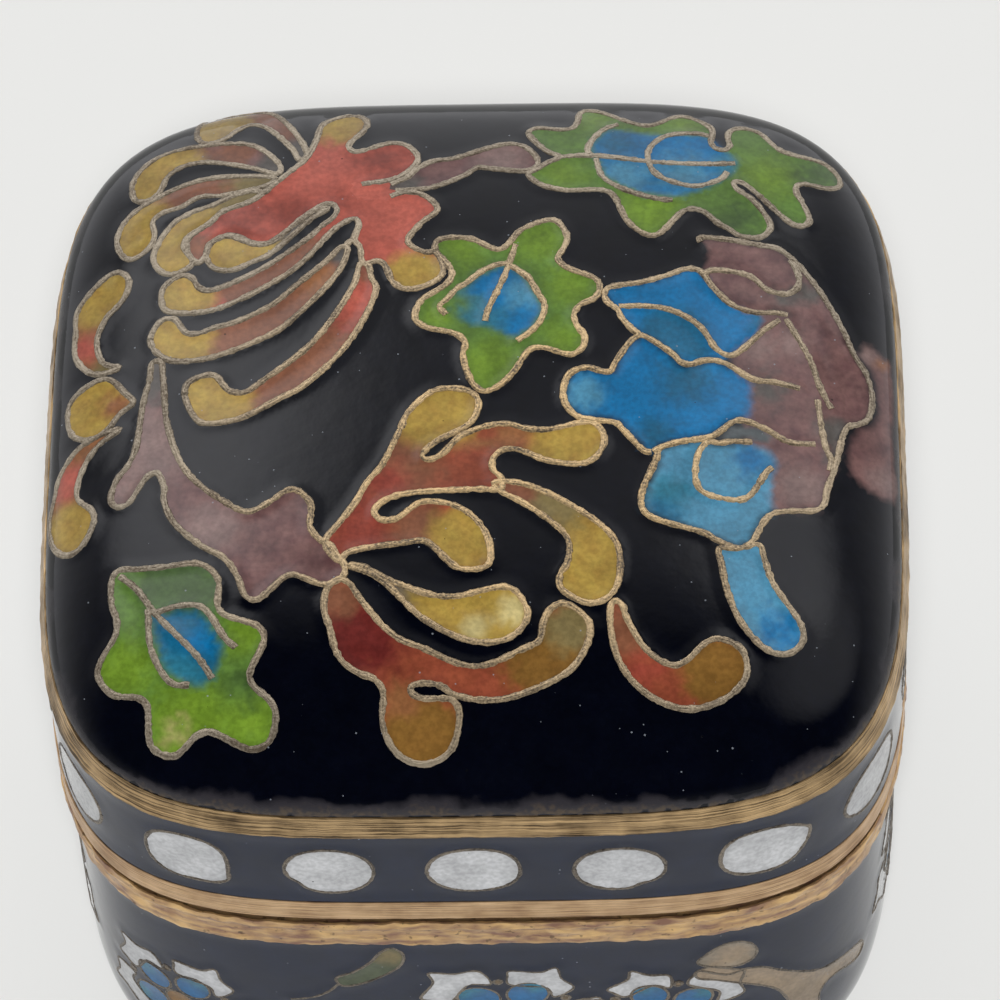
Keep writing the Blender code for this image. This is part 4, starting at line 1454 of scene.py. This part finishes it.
def draw_lid() -> Picture:
    """The picture on the dome.

    Returns:
        The picture.
    """
    picture = Picture()
    for draw in (draw_chrysanthemum, draw_stems_and_buds, draw_blooming_spray, draw_leaves, draw_peony):
        draw(picture)
    return picture


def polar(x: float, y: float, reach: float, turn: float) -> Point:
    """The point at a distance and a direction in radians from another."""
    return x + reach * math.cos(turn), y + reach * math.sin(turn)


def round_cell(
    x: float, y: float, wide: float, tall: float, count: int, lean: float = 0, squareness: float = 2
) -> Points:
    """A closed outline between an ellipse and a rounded box.

    Args:
        x: the middle, across.
        y: the middle, down.
        wide: full width.
        tall: full height.
        count: how many points.
        lean: turn in radians.
        squareness: 2 for an ellipse, and more for fuller corners.

    Returns:
        The outline's points.
    """
    found = []
    ahead, aside = math.cos(lean), math.sin(lean)
    for k in range(count):
        turn = 2 * math.pi * k / count
        c, s = math.cos(turn), math.sin(turn)
        u = wide / 2 * math.copysign(abs(c) ** (2 / squareness), c)
        v = tall / 2 * math.copysign(abs(s) ** (2 / squareness), s)
        found.append((x + u * ahead - v * aside, y + u * aside + v * ahead))
    return tuple(found)


def draw_ovals(around: float, middle: float, count: int, seed: int) -> Picture:
    """The row of white ovals round the lid's side, each bent by hand and so a little unlike the next.

    Args:
        around: length round the wall.
        middle: how far down the wall their middles lie.
        count: how many.
        seed: picks their differences.

    Returns:
        The picture.
    """
    # Where an oval's wire was bent too far or too little: the direction, and how much further out it lies.
    bends = ((0.75, 0.2), (2.5, -0.12), (3.0, 0.04), (0.95, -0.12), (-0.15, 0.16), (3.0, 0.12))
    bend_width = 0.32
    # The wire's two ends run past each other at the foot of some, at these shares of the width and heights.
    tail = ((0.52, -0.1), (0.47, 0.95), (0.36, 1.65), (0.18, 2.15))
    tailed = 0.4
    dice = np.random.default_rng(seed)
    picture = Picture()
    for k in range(count):
        # The ovals crowd a little towards the back, and an odd count leaves none across the joint there.
        turn = k - count // 2
        x = turn * (around / count) - 0.5 * math.sin(2 * math.pi * turn / count)
        wide, tall = 5.1 + dice.uniform(-0.2, 0.25), 4.6 + dice.uniform(-0.15, 0.15)
        y = middle + dice.uniform(-0.12, 0.12)
        squareness, lean = dice.uniform(2, 2.4), dice.uniform(-0.1, 0.1)
        way, reach = bends[(turn + 2) % len(bends)]
        outline = []
        for px, py in round_cell(x, y, wide, tall, 18, lean, squareness):
            off = math.atan2(py - y, px - x) - way
            off = math.atan2(math.sin(off), math.cos(off))
            grown = 1 + reach * math.exp(-((off / bend_width) ** 2))
            outline.append((x + (px - x) * grown, y + (py - y) * grown))
        picture.cell(Tone.WHITE, tuple(outline))
        if dice.uniform() < tailed:
            picture.strand(*((x + wide * share, y + down) for share, down in tail))
    return picture


def draw_blossom(picture: Picture, x: float, y: float, radius: float, turn: float) -> None:
    """A flower of the base: five white petals with a hollow outer edge, each round a blue one.

    Args:
        picture: where it is drawn.
        x: its middle, round the wall.
        y: its middle, down the wall.
        radius: reach of the white petals.
        turn: direction of the first petal in radians.
    """
    petal = (
        (-0.47, 0.86), (-0.46, 0.95), (-0.08, 1.0), (0.02, 1.16), (0.2, 0.98), (0.45, 0.93), (0.5, 0.62),
        (0.2, 0.71), (-0.46, 0.66),
    )
    leads = [turn + k * 2 * math.pi / 5 for k in range(5)]
    for lead in leads:
        sway = 1 + 0.06 * math.sin(3 * lead + x)
        outline = tuple(polar(x, y, radius * sway * reach, lead + off) for off, reach in petal)
        picture.cell(Tone.WHITE, outline)
    for lead in leads:
        inner = round_cell(*polar(x, y, radius * 0.45, lead), radius * 0.48, radius * 0.44, 10, lead)
        picture.cell(Tone.DENIM, inner, Drop(*inner[0], radius * 0.16, Tone.TEAL))
        # A little ring of amber stands between two petals.
        picture.cell(Tone.UMBER, round_cell(*polar(x, y, radius * 0.68, lead + math.pi / 5), 0.5, 0.6, 6))
    picture.cell(Tone.AMBER, round_cell(x, y, radius * 0.36, radius * 0.36, 8))


@dataclass(frozen=True)
class Spot:
    """Where a small motif of the base stands. It is drawn about this spot, mirrored where mirror is -1."""

    x: float
    y: float
    mirror: float

    def points(self, *points: Point) -> Points:
        """The motif's points on the wall."""
        return tuple((self.x + self.mirror * px, self.y + py) for px, py in points)

    def drop(self, x: float, y: float, radius: float, tone: Tone, soft: float) -> Drop:
        """The motif's drop on the wall."""
        return Drop(self.x + self.mirror * x, self.y + y, radius, tone, soft)

    def bud(self, picture: Picture) -> None:
        """A leaning bud with its stem.

        Args:
            picture: where it is drawn.
        """
        picture.cell(Tone.MOSS, self.points(
            (-2, 1.2), (-1, 0.5), (0, -0.6), (0.8, -2), (1.4, -2.4), (2, -1.7), (1.8, -0.3), (-0.5, 1.8),
            (-1.7, 2.1),
        ), self.drop(1.2, -1.4, 0.8, Tone.OLIVE, 1.5))
        picture.strand(*self.points((-1.9, 1.9), (-2.6, 2.9), (-3.6, 3.6), (-4.8, 3.9)))

    def scroll(self, picture: Picture) -> None:
        """A leaf over a forked scroll, which runs off to the side and down.

        Args:
            picture: where it is drawn.
        """
        picture.cell(Tone.STONE, self.points(
            (-1.9, 0.2), (-1.2, -0.9), (-0.3, -1.6), (0.8, -1.5), (1.6, -0.4), (1.4, 0.7), (0.5, 1.2),
            (-0.7, 1),
        ), self.drop(0, -0.2, 1.4, Tone.TAN, 1.6))
        picture.cell(Tone.TAN, self.points(
            (-2, 1.3), (-1.2, 0.8), (0.4, 1.6), (2, 2.1), (3.1, 3.1), (5.8, 5.4), (8.5, 6.4), (9.6, 7.1),
            (9.9, 7.9), (9.4, 8.5), (7.1, 7.4), (6.2, 7.6), (5.8, 8.5), (5.9, 10), (5.6, 11.6), (4.7, 12.6),
            (3.8, 12.2), (4.2, 10.8), (3.5, 6.8), (2.5, 4.8), (-0.8, 2.5), (-1.9, 2),
        ), self.drop(5, 11.4, 1.6, Tone.OLIVE, 1.4))

    def sprig(self, picture: Picture) -> None:
        """A pair of leaves on a stem, low on the wall.

        Args:
            picture: where it is drawn.
        """
        leaf = ((0, 0), (1, -1.3), (2.4, -1.9), (3.9, -1.6), (4.6, -0.6), (3.6, 0.4), (2.3, 0.9), (1, 0.8))
        other = Spot(self.x - self.mirror * 0.4, self.y + 0.6, -self.mirror)
        picture.cell(Tone.GREEN, self.points(*leaf), self.drop(3.4, -0.7, 1, Tone.LIME, 1.8))
        picture.cell(Tone.PINE, other.points(*leaf))
        picture.strand(*self.points((0, 0), (-0.3, 1.6), (0.4, 3.1), (1.8, 4)))


def draw_base(around: float) -> Picture:
    """The flowers round the base, which repeat at its back; its two sides carry a plainer spray.

    Args:
        around: length round the wall.

    Returns:
        The picture.
    """
    picture = Picture()
    for shift in (0, around / 2):
        places = (-18.3, 1.5, 10.6, -6.5, 14.5, -8.5)
        home = [(x + shift + around / 2) % around - around / 2 for x in places]
        draw_blossom(picture, home[0], 9.9, 5.0, -1.12)
        draw_blossom(picture, home[1], 8.7, 5.5, -1.1)
        draw_blossom(picture, home[2], 9.2, 5.0, -1.95)
        Spot(home[3], 3.3, 1).bud(picture)
        Spot(home[4], 3.5, 1).scroll(picture)
        Spot(home[5], 14.2, 1).sprig(picture)
    for side in (-1, 1):
        middle = side * around / 4
        draw_blossom(picture, middle - 11.4 * side, 7.9, 5.5, 0.3)
        draw_blossom(picture, middle + 7.5 * side, 9.2, 5.3, -1.2)
        Spot(middle - 0.6 * side, 3.4, side).bud(picture)
        Spot(middle - 1.2 * side, 14.4, -side).sprig(picture)
    return picture


# ---------- brass edging


@dataclass(frozen=True)
class Band:
    """Brass edging bent round the plan.

    Its corners are (distance outward from the plan, height), from the top outer one down the outer face and
    up the inner one.
    """

    plan: Plan
    half_low: float
    half_high: float
    corners: Points
    hammer: float
    dent: float
    seed: int
    bevel: float = 0.06
    division: float = 0.3
    around: int = 720
    plain: float = -0.45  # how far in from the plan the hammer stops
    fade: float = 0.3

    def section(self) -> Array:
        """The outline of the cut, with rounded corners and its faces divided evenly.

        Returns:
            Rows of (distance outward, height).
        """
        given = np.array(self.corners, float)
        line = []
        for before, here, after in zip(np.roll(given, 1, axis=0), given, np.roll(given, -1, axis=0)):
            start = here + (before - here) * (self.bevel / np.hypot(*(before - here)))
            end = here + (after - here) * (self.bevel / np.hypot(*(after - here)))
            for t in (0, 0.33, 0.67, 1):
                line.append((1 - t) ** 2 * start + 2 * t * (1 - t) * here + t * t * end)
        found = []
        for a, b in zip(line, line[1:] + line[:1]):
            parts = max(1, round(float(np.hypot(*(b - a))) / self.division))
            found += [a + (b - a) * k / parts for k in range(parts)]
        return np.array(found)

    def build(self, name: str, material: Material) -> Object:
        """Bends the band and beats it.

        Args:
            name: the piece's name.
            material: its finish, whose scratches follow the band.

        Returns:
            The piece.
        """
        section = self.section()
        low, high = section[:, 1].min(), section[:, 1].max()
        places = np.arange(self.around) / self.around - 0.5
        ring, out = self.plan.at(places), self.plan.outward(places)
        rows = []
        for proud, height in section:
            half = np.interp(height, (low, high), (self.half_low, self.half_high))
            rows.append(np.column_stack([ring * half + out * proud, np.full(self.around, height)]))
        points = np.vstack(rows)
        struck = (points + self.seed).tolist()
        beaten = np.array([noise.fractal(Vector(p) / self.dent, 0.8, 2.0, 3) for p in struck])
        outer = smoothstep((np.repeat(section[:, 0], self.around) - self.plain) / self.fade)
        points[:, :2] += np.tile(out, (len(section), 1)) * (beaten * outer * self.hammer)[:, None]
        # Each face runs from a place to the next round the plan, and from a row to the one below it.
        here = np.arange(self.around)
        after = (here + 1) % self.around
        rows = np.arange(len(section))[:, None] * self.around
        below = np.roll(rows, -1)
        quads = np.stack([rows + here, below + here, below + after, rows + after], axis=-1)
        mesh = bpy.data.meshes.new(name)
        mesh.from_pydata((points * MM).tolist(), [], quads.reshape(-1, 4).tolist())
        step = self.plan.length() * self.half_low / self.around
        across = measured(np.vstack([section, section[:1]]))
        u = np.stack([here, here, here + 1, here + 1], -1) * step
        v = np.stack([across[:-1], across[1:], across[1:], across[:-1]], -1)[:, None]
        uv = np.stack(np.broadcast_arrays(u, v), -1) * MM
        mesh.uv_layers.new(name="along").data.foreach_set("uv", uv.astype(np.float32).ravel())
        mesh.materials.append(material)
        mesh.shade_smooth()
        return put(name, mesh)


# ---------- the box


@dataclass(frozen=True)
class Finishes:
    """The box's materials."""

    enamel: Material
    lining: Material
    wire: Material
    thin_wire: Material
    edging: Material
    mouth: Material
    beaten: Material
    turned: Material


def report(piece: Object, slot: str, *nodes: str) -> None:
    """Fixes a finished piece to the box and logs it.

    Args:
        piece: the piece.
        slot: the record's material slot.
        nodes: the CAD nodes that it stands for.
    """
    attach(piece, BODY)
    if nodes:
        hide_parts(*nodes)
    count = len(piece.data.polygons)
    logging.info("%s: %d faces, slot %s, for %s", piece.name, count, slot, nodes or "itself")


@dataclass(kw_only=True)
class Half:
    """What the lid and the base share: enamelled copper round one plan, edged with brass."""

    plan: Plan
    half_width: float
    finishes: Finishes
    wall: float = 1.8
    around: int = 360

    def strip(self, *levels: Point, **settings: bool) -> Patch:
        """Lofts a strip round the plan.

        Args:
            levels: the (half-width, height) of each of its rings.
            settings: the settings of loft.

        Returns:
            The patch.
        """
        flat = self.plan.at(np.arange(self.around) / self.around - 0.5)
        rings = [np.column_stack([flat * half, np.full(self.around, height)]) for half, height in levels]
        return loft(rings, **settings)

    def enamel(self, name: str, node: str, *patches: Patch) -> None:
        """Joins patches into the enamelled shell that stands for a CAD node."""
        shell = join(name, patches, (self.finishes.enamel, self.finishes.lining))
        report(shell, "dark_enamel", node)

    def band(
        self, name: str, node: str, finish: Material, half_high: float, corners: Points, **beating: float
    ) -> None:
        """Edges the shell with brass.

        Args:
            name: the piece's name.
            node: the CAD node that it stands for.
            finish: its brass.
            half_high: the plan's half-width at the band's top.
            corners: the band's section.
            beating: how it was hammered, as Band's fields say it.
        """
        band = Band(self.plan, self.half_width, half_high, corners, **beating)
        report(band.build(name, finish), "brass_edge", node)


@dataclass(kw_only=True)
class Lid(Half):
    """The domed lid: enamelled copper with its picture, and a brass band at the shoulder and at the mouth."""

    shoulder: float
    dome_foot: float
    top: float
    side_top: float
    side_foot: float
    mouth: float
    roundness: float = 2.8
    oval_count: int = 21
    oval_level: float = 30.5

    def fields(self) -> tuple[EnamelField, EnamelField]:
        """The picture on the dome and the row of ovals round the side.

        Returns:
            The two fields of enamel.
        """
        dome = Dome(self.plan, self.shoulder, self.dome_foot, self.top - self.dome_foot, self.roundness)
        top = EnamelField(dome, draw_lid(), 0.33, self.around, 11, Tone.GROUND, thin_edge=1.0, settle=4.5)
        side = Side(self.plan, self.half_width, np.array([(0, self.side_top), (0, self.side_foot)]))
        row = draw_ovals(side.around, self.side_top - self.oval_level, self.oval_count, seed=5)
        return top, EnamelField(side, row, 0.42, self.around, 23, Tone.NIGHT, flip=True, dish=0.04)

    def shell(self, top: EnamelField, wall: EnamelField) -> None:
        """Builds the enamelled copper, with the groove for the shoulder's band and the hollow inside.

        Args:
            top: the picture on the dome.
            wall: the ovals round the side.
        """
        half, inner, rise = self.half_width, self.half_width - self.wall, self.top - self.dome_foot
        groove = self.strip(
            (self.shoulder, self.dome_foot), (self.shoulder - 0.42, self.dome_foot - 0.04),
            (self.shoulder - 0.32, self.side_top + 0.04), (half, self.side_top),
        )
        mouth = self.strip((half, self.side_foot), (half - 0.2, self.side_foot - 0.05))
        vault = [
            (self.shoulder * share, self.dome_foot - self.wall + rise * math.sqrt(1 - share**self.roundness))
            for share in (0.86, 0.8, 0.7, 0.55, 0.4, 0.25, 0.1)
        ]
        lining = self.strip(
            (half - 0.2, self.side_foot - 0.05), (inner, self.side_foot), (inner, self.side_top - 0.5),
            (inner - 0.25, self.side_top + 0.7), (inner - 0.9, self.side_top + 1.5), *vault,
            inner=True, fill=True,
        )
        self.enamel("lid_enamel", "lid_shell", top.build(), groove, wall.build(), mouth, lining)

    def build(self, sweep: WireSweep) -> None:
        """Builds the lid's pieces.

        Args:
            sweep: the tree that draws the wires.
        """
        top, wall = self.fields()
        self.shell(top, wall)
        report(Wirework(top).build("lid_picture_wires", sweep, self.finishes.wire), "cloison_wire")
        thin = Wirework(wall, half_width=0.14, half_thickness=0.08, sink=0.04, wander=0.05)
        report(thin.build("lid_oval_wires", sweep, self.finishes.thin_wire), "cloison_wire")
        foot, back = self.side_foot, -self.wall + 0.1
        shoulder = (
            (0.07, self.dome_foot + 0.1), (0.07, self.side_top - 0.08), (-0.36, self.side_top - 0.05),
            (-0.3, self.dome_foot - 0.01), (-0.12, self.dome_foot + 0.06),
        )
        mouth = (
            (0.05, foot + 0.08), (0.05, self.mouth), (back, self.mouth), (back, foot - 0.1),
            (-0.25, foot - 0.1), (-0.12, foot + 0.05),
        )
        finishes = self.finishes
        edging = {"hammer": 0.05, "dent": 1.1, "seed": 3}
        self.band("lid_shoulder_band", "lid_shoulder_rim", finishes.edging, self.shoulder, shoulder, **edging)
        edging = {"hammer": 0.02, "dent": 1.6, "seed": 5}
        self.band("lid_mouth_band", "lid_lower_rim", finishes.mouth, self.half_width, mouth, **edging)


@dataclass(kw_only=True)
class Base(Half):
    """The deep base: enamelled copper with flowers round it, and a beaten brass band at the mouth."""

    top: float
    turn: float
    foot: float
    rim_foot: float
    rim_top: float
    curve_inset: float = 3.5
    curve_power: float = 3.5

    def profile(self) -> Array:
        """The wall's section, from its top edge down to the flat underside.

        Returns:
            Rows of (inset, height).
        """
        rows = [(0.0, self.top), (0.0, self.turn)]
        for k in range(1, 25):
            fall = math.sin(math.pi / 2 * k / 24)
            inset = self.curve_inset * (1 - (1 - fall**self.curve_power) ** (1 / self.curve_power))
            rows.append((inset, self.turn - fall * (self.turn - self.foot)))
        return np.array(rows)

    def build(self, sweep: WireSweep) -> None:
        """Builds the base's pieces.

        Args:
            sweep: the tree that draws the wires.
        """
        side = Side(self.plan, self.half_width, self.profile())
        picture = draw_base(side.around)
        wall = EnamelField(side, picture, 0.42, self.around, 37, Tone.NIGHT, flip=True)
        low, foot = self.half_width - self.curve_inset, self.foot
        inner, floor = self.half_width - self.wall, self.foot + self.wall
        under = self.strip((low, foot), (low * 0.6, foot), (low * 0.2, foot), inner=True, fill=True)
        brim = self.strip((inner, self.top - 0.05), (self.half_width, self.top))
        lining = self.strip(
            (inner, self.top - 0.05), (inner, self.turn), (inner - 0.5, self.turn - 6),
            (inner - 1.6, floor + 1.2), (inner - 3.2, floor), (inner * 0.5, floor),
            inner=True, fill=True, turned=True,
        )
        self.enamel("base_enamel", "base_shell", wall.build(), under, brim, lining)
        thin = Wirework(wall, half_width=0.11, half_thickness=0.07, sink=0.04, step=0.2, wander=0.05)
        report(thin.build("base_picture_wires", sweep, self.finishes.thin_wire), "cloison_wire")
        # The rolled lip stands proud of the wall, and behind it the band sits on the copper.
        lip, low_lip, seat, back = self.rim_top, self.rim_foot - 0.05, self.top + 0.1, -self.wall + 0.15
        rolled = (
            (0.5, lip - 0.3), (0.52, lip - 0.9), (0.34, lip - 1.35), (0.24, low_lip), (-0.1, low_lip),
            (-0.1, seat), (back, seat), (back, lip - 1), (0.14, lip - 1), (0.34, lip - 0.27),
        )
        beating = {"hammer": 0.1, "dent": 1.1, "seed": 9}
        self.band("base_mouth_band", "base_rim", self.finishes.beaten, self.half_width, rolled, **beating)
        for name in ("base_locating_lip", "base_foot_rim"):
            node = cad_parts[name]
            node.data.materials.clear()
            node.data.materials.append(self.finishes.turned)
            logging.info("%s: kept from the CAD", name)


# ---------- the studio


@dataclass
class Studio:
    """A plain pale floor under soft lights, and the camera."""

    floor_size: float = 3.0
    target: Triple = (1.17, 3.621, 25.0)
    elevation: float = 56.878
    azimuth: float = 2.879
    roll: float = -3.142
    distance: float = 403.65
    lens: float = 243.85
    front_wall: float = 0.3
    back_wall: float = 1.85
    front_reach: float = 0.55
    back_reach: float = 0.95
    ceiling: float = 0.03
    # Dim windows: the way to each, the degrees from its middle at which it is full and gone, and its light.
    windows: tuple[tuple[Triple, float, float, float], ...] = (
        ((-0.34, 0.57, 0.75), 2.0, 18.0, 2.2),
        ((0.32, 0.5, 0.8), 2.0, 15.0, 1.3),
        ((0.5, 0.25, 0.83), 4.0, 19.0, 0.8),
        ((0.0, 0.72, 0.69), 8.0, 32.0, 0.6),
    )

    def floor(self) -> None:
        """Lays the floor."""
        half = self.floor_size / 2
        corners = [(-half, -half, 0), (half, -half, 0), (half, half, 0), (-half, half, 0)]
        mesh = bpy.data.meshes.new("floor")
        mesh.from_pydata(corners, [], [(0, 1, 2, 3)])
        material, t, shader, place = new_material("matt_white_board")
        cloud = add(t, NOISE, {"Vector": place, "Scale": per_mm(60.0)})
        colour = add(t, MIX, {0: cloud, 6: "#dcdcda", 7: "#dfdfdd"}, 2, data_type="RGBA")
        fill(shader, {"Base Color": colour, "Roughness": 0.6})
        mesh.materials.append(material)
        put("floor", mesh)

    def world(self) -> None:
        """Surrounds the table with pale walls that darken upwards, lower down in front than behind."""
        world = bpy.data.worlds.new("room")
        world.use_nodes = True
        # The walls show in the gloss only; the lamps alone light the table.
        world.cycles_visibility.diffuse = False
        bpy.context.scene.world = world
        t = world.node_tree
        way = add(t, "ShaderNodeTexCoord", (), "Generated")
        parts = add(t, "ShaderNodeSeparateXYZ", (way,)).node.outputs
        reach = add(t, RANGE, (parts["Y"], -0.5, 0.5, self.front_reach, self.back_reach), **EASED)
        strength = add(t, RANGE, (parts["Y"], -0.3, 0.8, self.front_wall, self.back_wall), **EASED)
        level = add(t, RANGE, (parts["Z"], 0.0, reach, strength, self.ceiling), **EASED)
        for towards, full, gone, brightness in self.windows:
            aimed = add(t, VECTOR, (way, Vector(towards).normalized()), "Value", operation="DOT_PRODUCT")
            ends = (math.cos(math.radians(gone)), math.cos(math.radians(full)))
            glow = add(t, RANGE, (aimed, *ends, 0.0, brightness), **EASED)
            level = add(t, MATH, (level, glow), operation="ADD")
        sky = next(n for n in t.nodes if n.type == "BACKGROUND")
        fill(sky, {"Color": "#fcfcff", "Strength": level})

    def lamp(self, name: str, azimuth: float, elevation: float, strength: float, softness: float) -> None:
        """Hangs a soft light so far off that the table is lit evenly. It shows in no reflection.

        Args:
            name: its name.
            azimuth: degrees from the front, counter-clockwise from above.
            elevation: degrees above the table.
            strength: watts on a square metre that faces it.
            softness: how wide it looks from the box, in degrees.
        """
        light = bpy.data.lights.new(name, "SUN")
        light.energy = strength
        light.angle = math.radians(softness)
        lamp = put(name, light)
        lamp.rotation_euler = self.direction(azimuth, elevation).to_track_quat("Z", "Y").to_euler()
        lamp.visible_glossy = False

    @staticmethod
    def direction(azimuth: float, elevation: float) -> Vector:
        """Unit direction from the box for an azimuth from the front and an elevation, both in degrees."""
        a, e = math.radians(azimuth), math.radians(elevation)
        return Vector((math.sin(a) * math.cos(e), -math.cos(a) * math.cos(e), math.sin(e)))

    def camera(self) -> None:
        """Sets the camera."""
        back = self.direction(self.azimuth, self.elevation)
        a, r = math.radians(self.azimuth), math.radians(self.roll)
        right = Vector((math.cos(a), math.sin(a), 0))
        up = back.cross(right)
        across = right * math.cos(r) + up * math.sin(r)
        upward = up * math.cos(r) - right * math.sin(r)
        turn = Matrix((across, upward, back)).transposed().to_4x4()
        lens = bpy.data.cameras.new("camera")
        lens.lens = self.lens
        lens.clip_start = 0.01
        lens.clip_end = 20
        camera = put("camera", lens)
        camera.matrix_world = Matrix.Translation((Vector(self.target) + back * self.distance) * MM) @ turn
        bpy.context.scene.camera = camera

    def build(self) -> None:
        """Sets up everything round the box."""
        bpy.context.scene.view_settings.view_transform = "Standard"
        self.floor()
        self.world()
        self.lamp("key", azimuth=3, elevation=57, strength=3.75, softness=12)
        self.lamp("fill", azimuth=180, elevation=62, strength=0.3, softness=50)
        self.camera()


def size_of(node: str) -> Triple:
    """A CAD node's half-width and its lowest and highest level, in millimetres."""
    low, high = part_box(node)
    return (high.x - low.x) / 2 / MM, low.z / MM, high.z / MM


def finish_all() -> Finishes:
    """Makes the box's materials.

    Returns:
        The materials.
    """
    dull_wire = GiltWire(bright="#857b6e", grey="#857b6e", dull="#3d3630")
    mouth = WornBrass(bright="#dcb98e", dull="#9c7a58", scratch_length=4.0)
    beaten = WornBrass(
        bright="#dfb980", dull="#93705e", scratch_length=2.2, scratch_width=0.6, patch=1.6, nicks=0.31
    )
    return Finishes(
        enamel=VitreousEnamel().build("vitreous_enamel"),
        lining=CounterEnamel().build("counter_enamel"),
        wire=GiltWire().build("gilt_cloison_wire"),
        thin_wire=dull_wire.build("dull_cloison_wire"),
        edging=WornBrass().build("filed_brass_edging", True),
        mouth=mouth.build("worn_brass_edging", True),
        beaten=beaten.build("beaten_brass_edging", True),
        turned=WornBrass().build("worn_brass_collar", False),
    )


def main() -> None:
    """Builds the box and the studio."""
    logging.basicConfig(level=logging.INFO, format="%(message)s")
    finishes = finish_all()
    sweep = WireSweep()
    lid_half, _, lid_top = size_of("lid_shell")
    _, shoulder_foot, shoulder_top = size_of("lid_shoulder_rim")
    _, mouth, mouth_top = size_of("lid_lower_rim")
    Lid(
        plan=Plan(4.17), half_width=lid_half, finishes=finishes, shoulder=lid_half * 0.985,
        dome_foot=shoulder_top, top=lid_top, side_top=shoulder_foot, side_foot=mouth_top + 0.05, mouth=mouth,
    ).build(sweep)
    base_half, base_foot, _ = size_of("base_shell")
    _, rim_foot, rim_top = size_of("base_rim")
    Base(
        plan=Plan(4.24), half_width=base_half, finishes=finishes, top=rim_foot - 0.05,
        turn=rim_top - 11.85, foot=base_foot, rim_foot=rim_foot - 0.1, rim_top=rim_top,
    ).build(sweep)
    Studio().build()


if __name__ == "__main__":
    main()
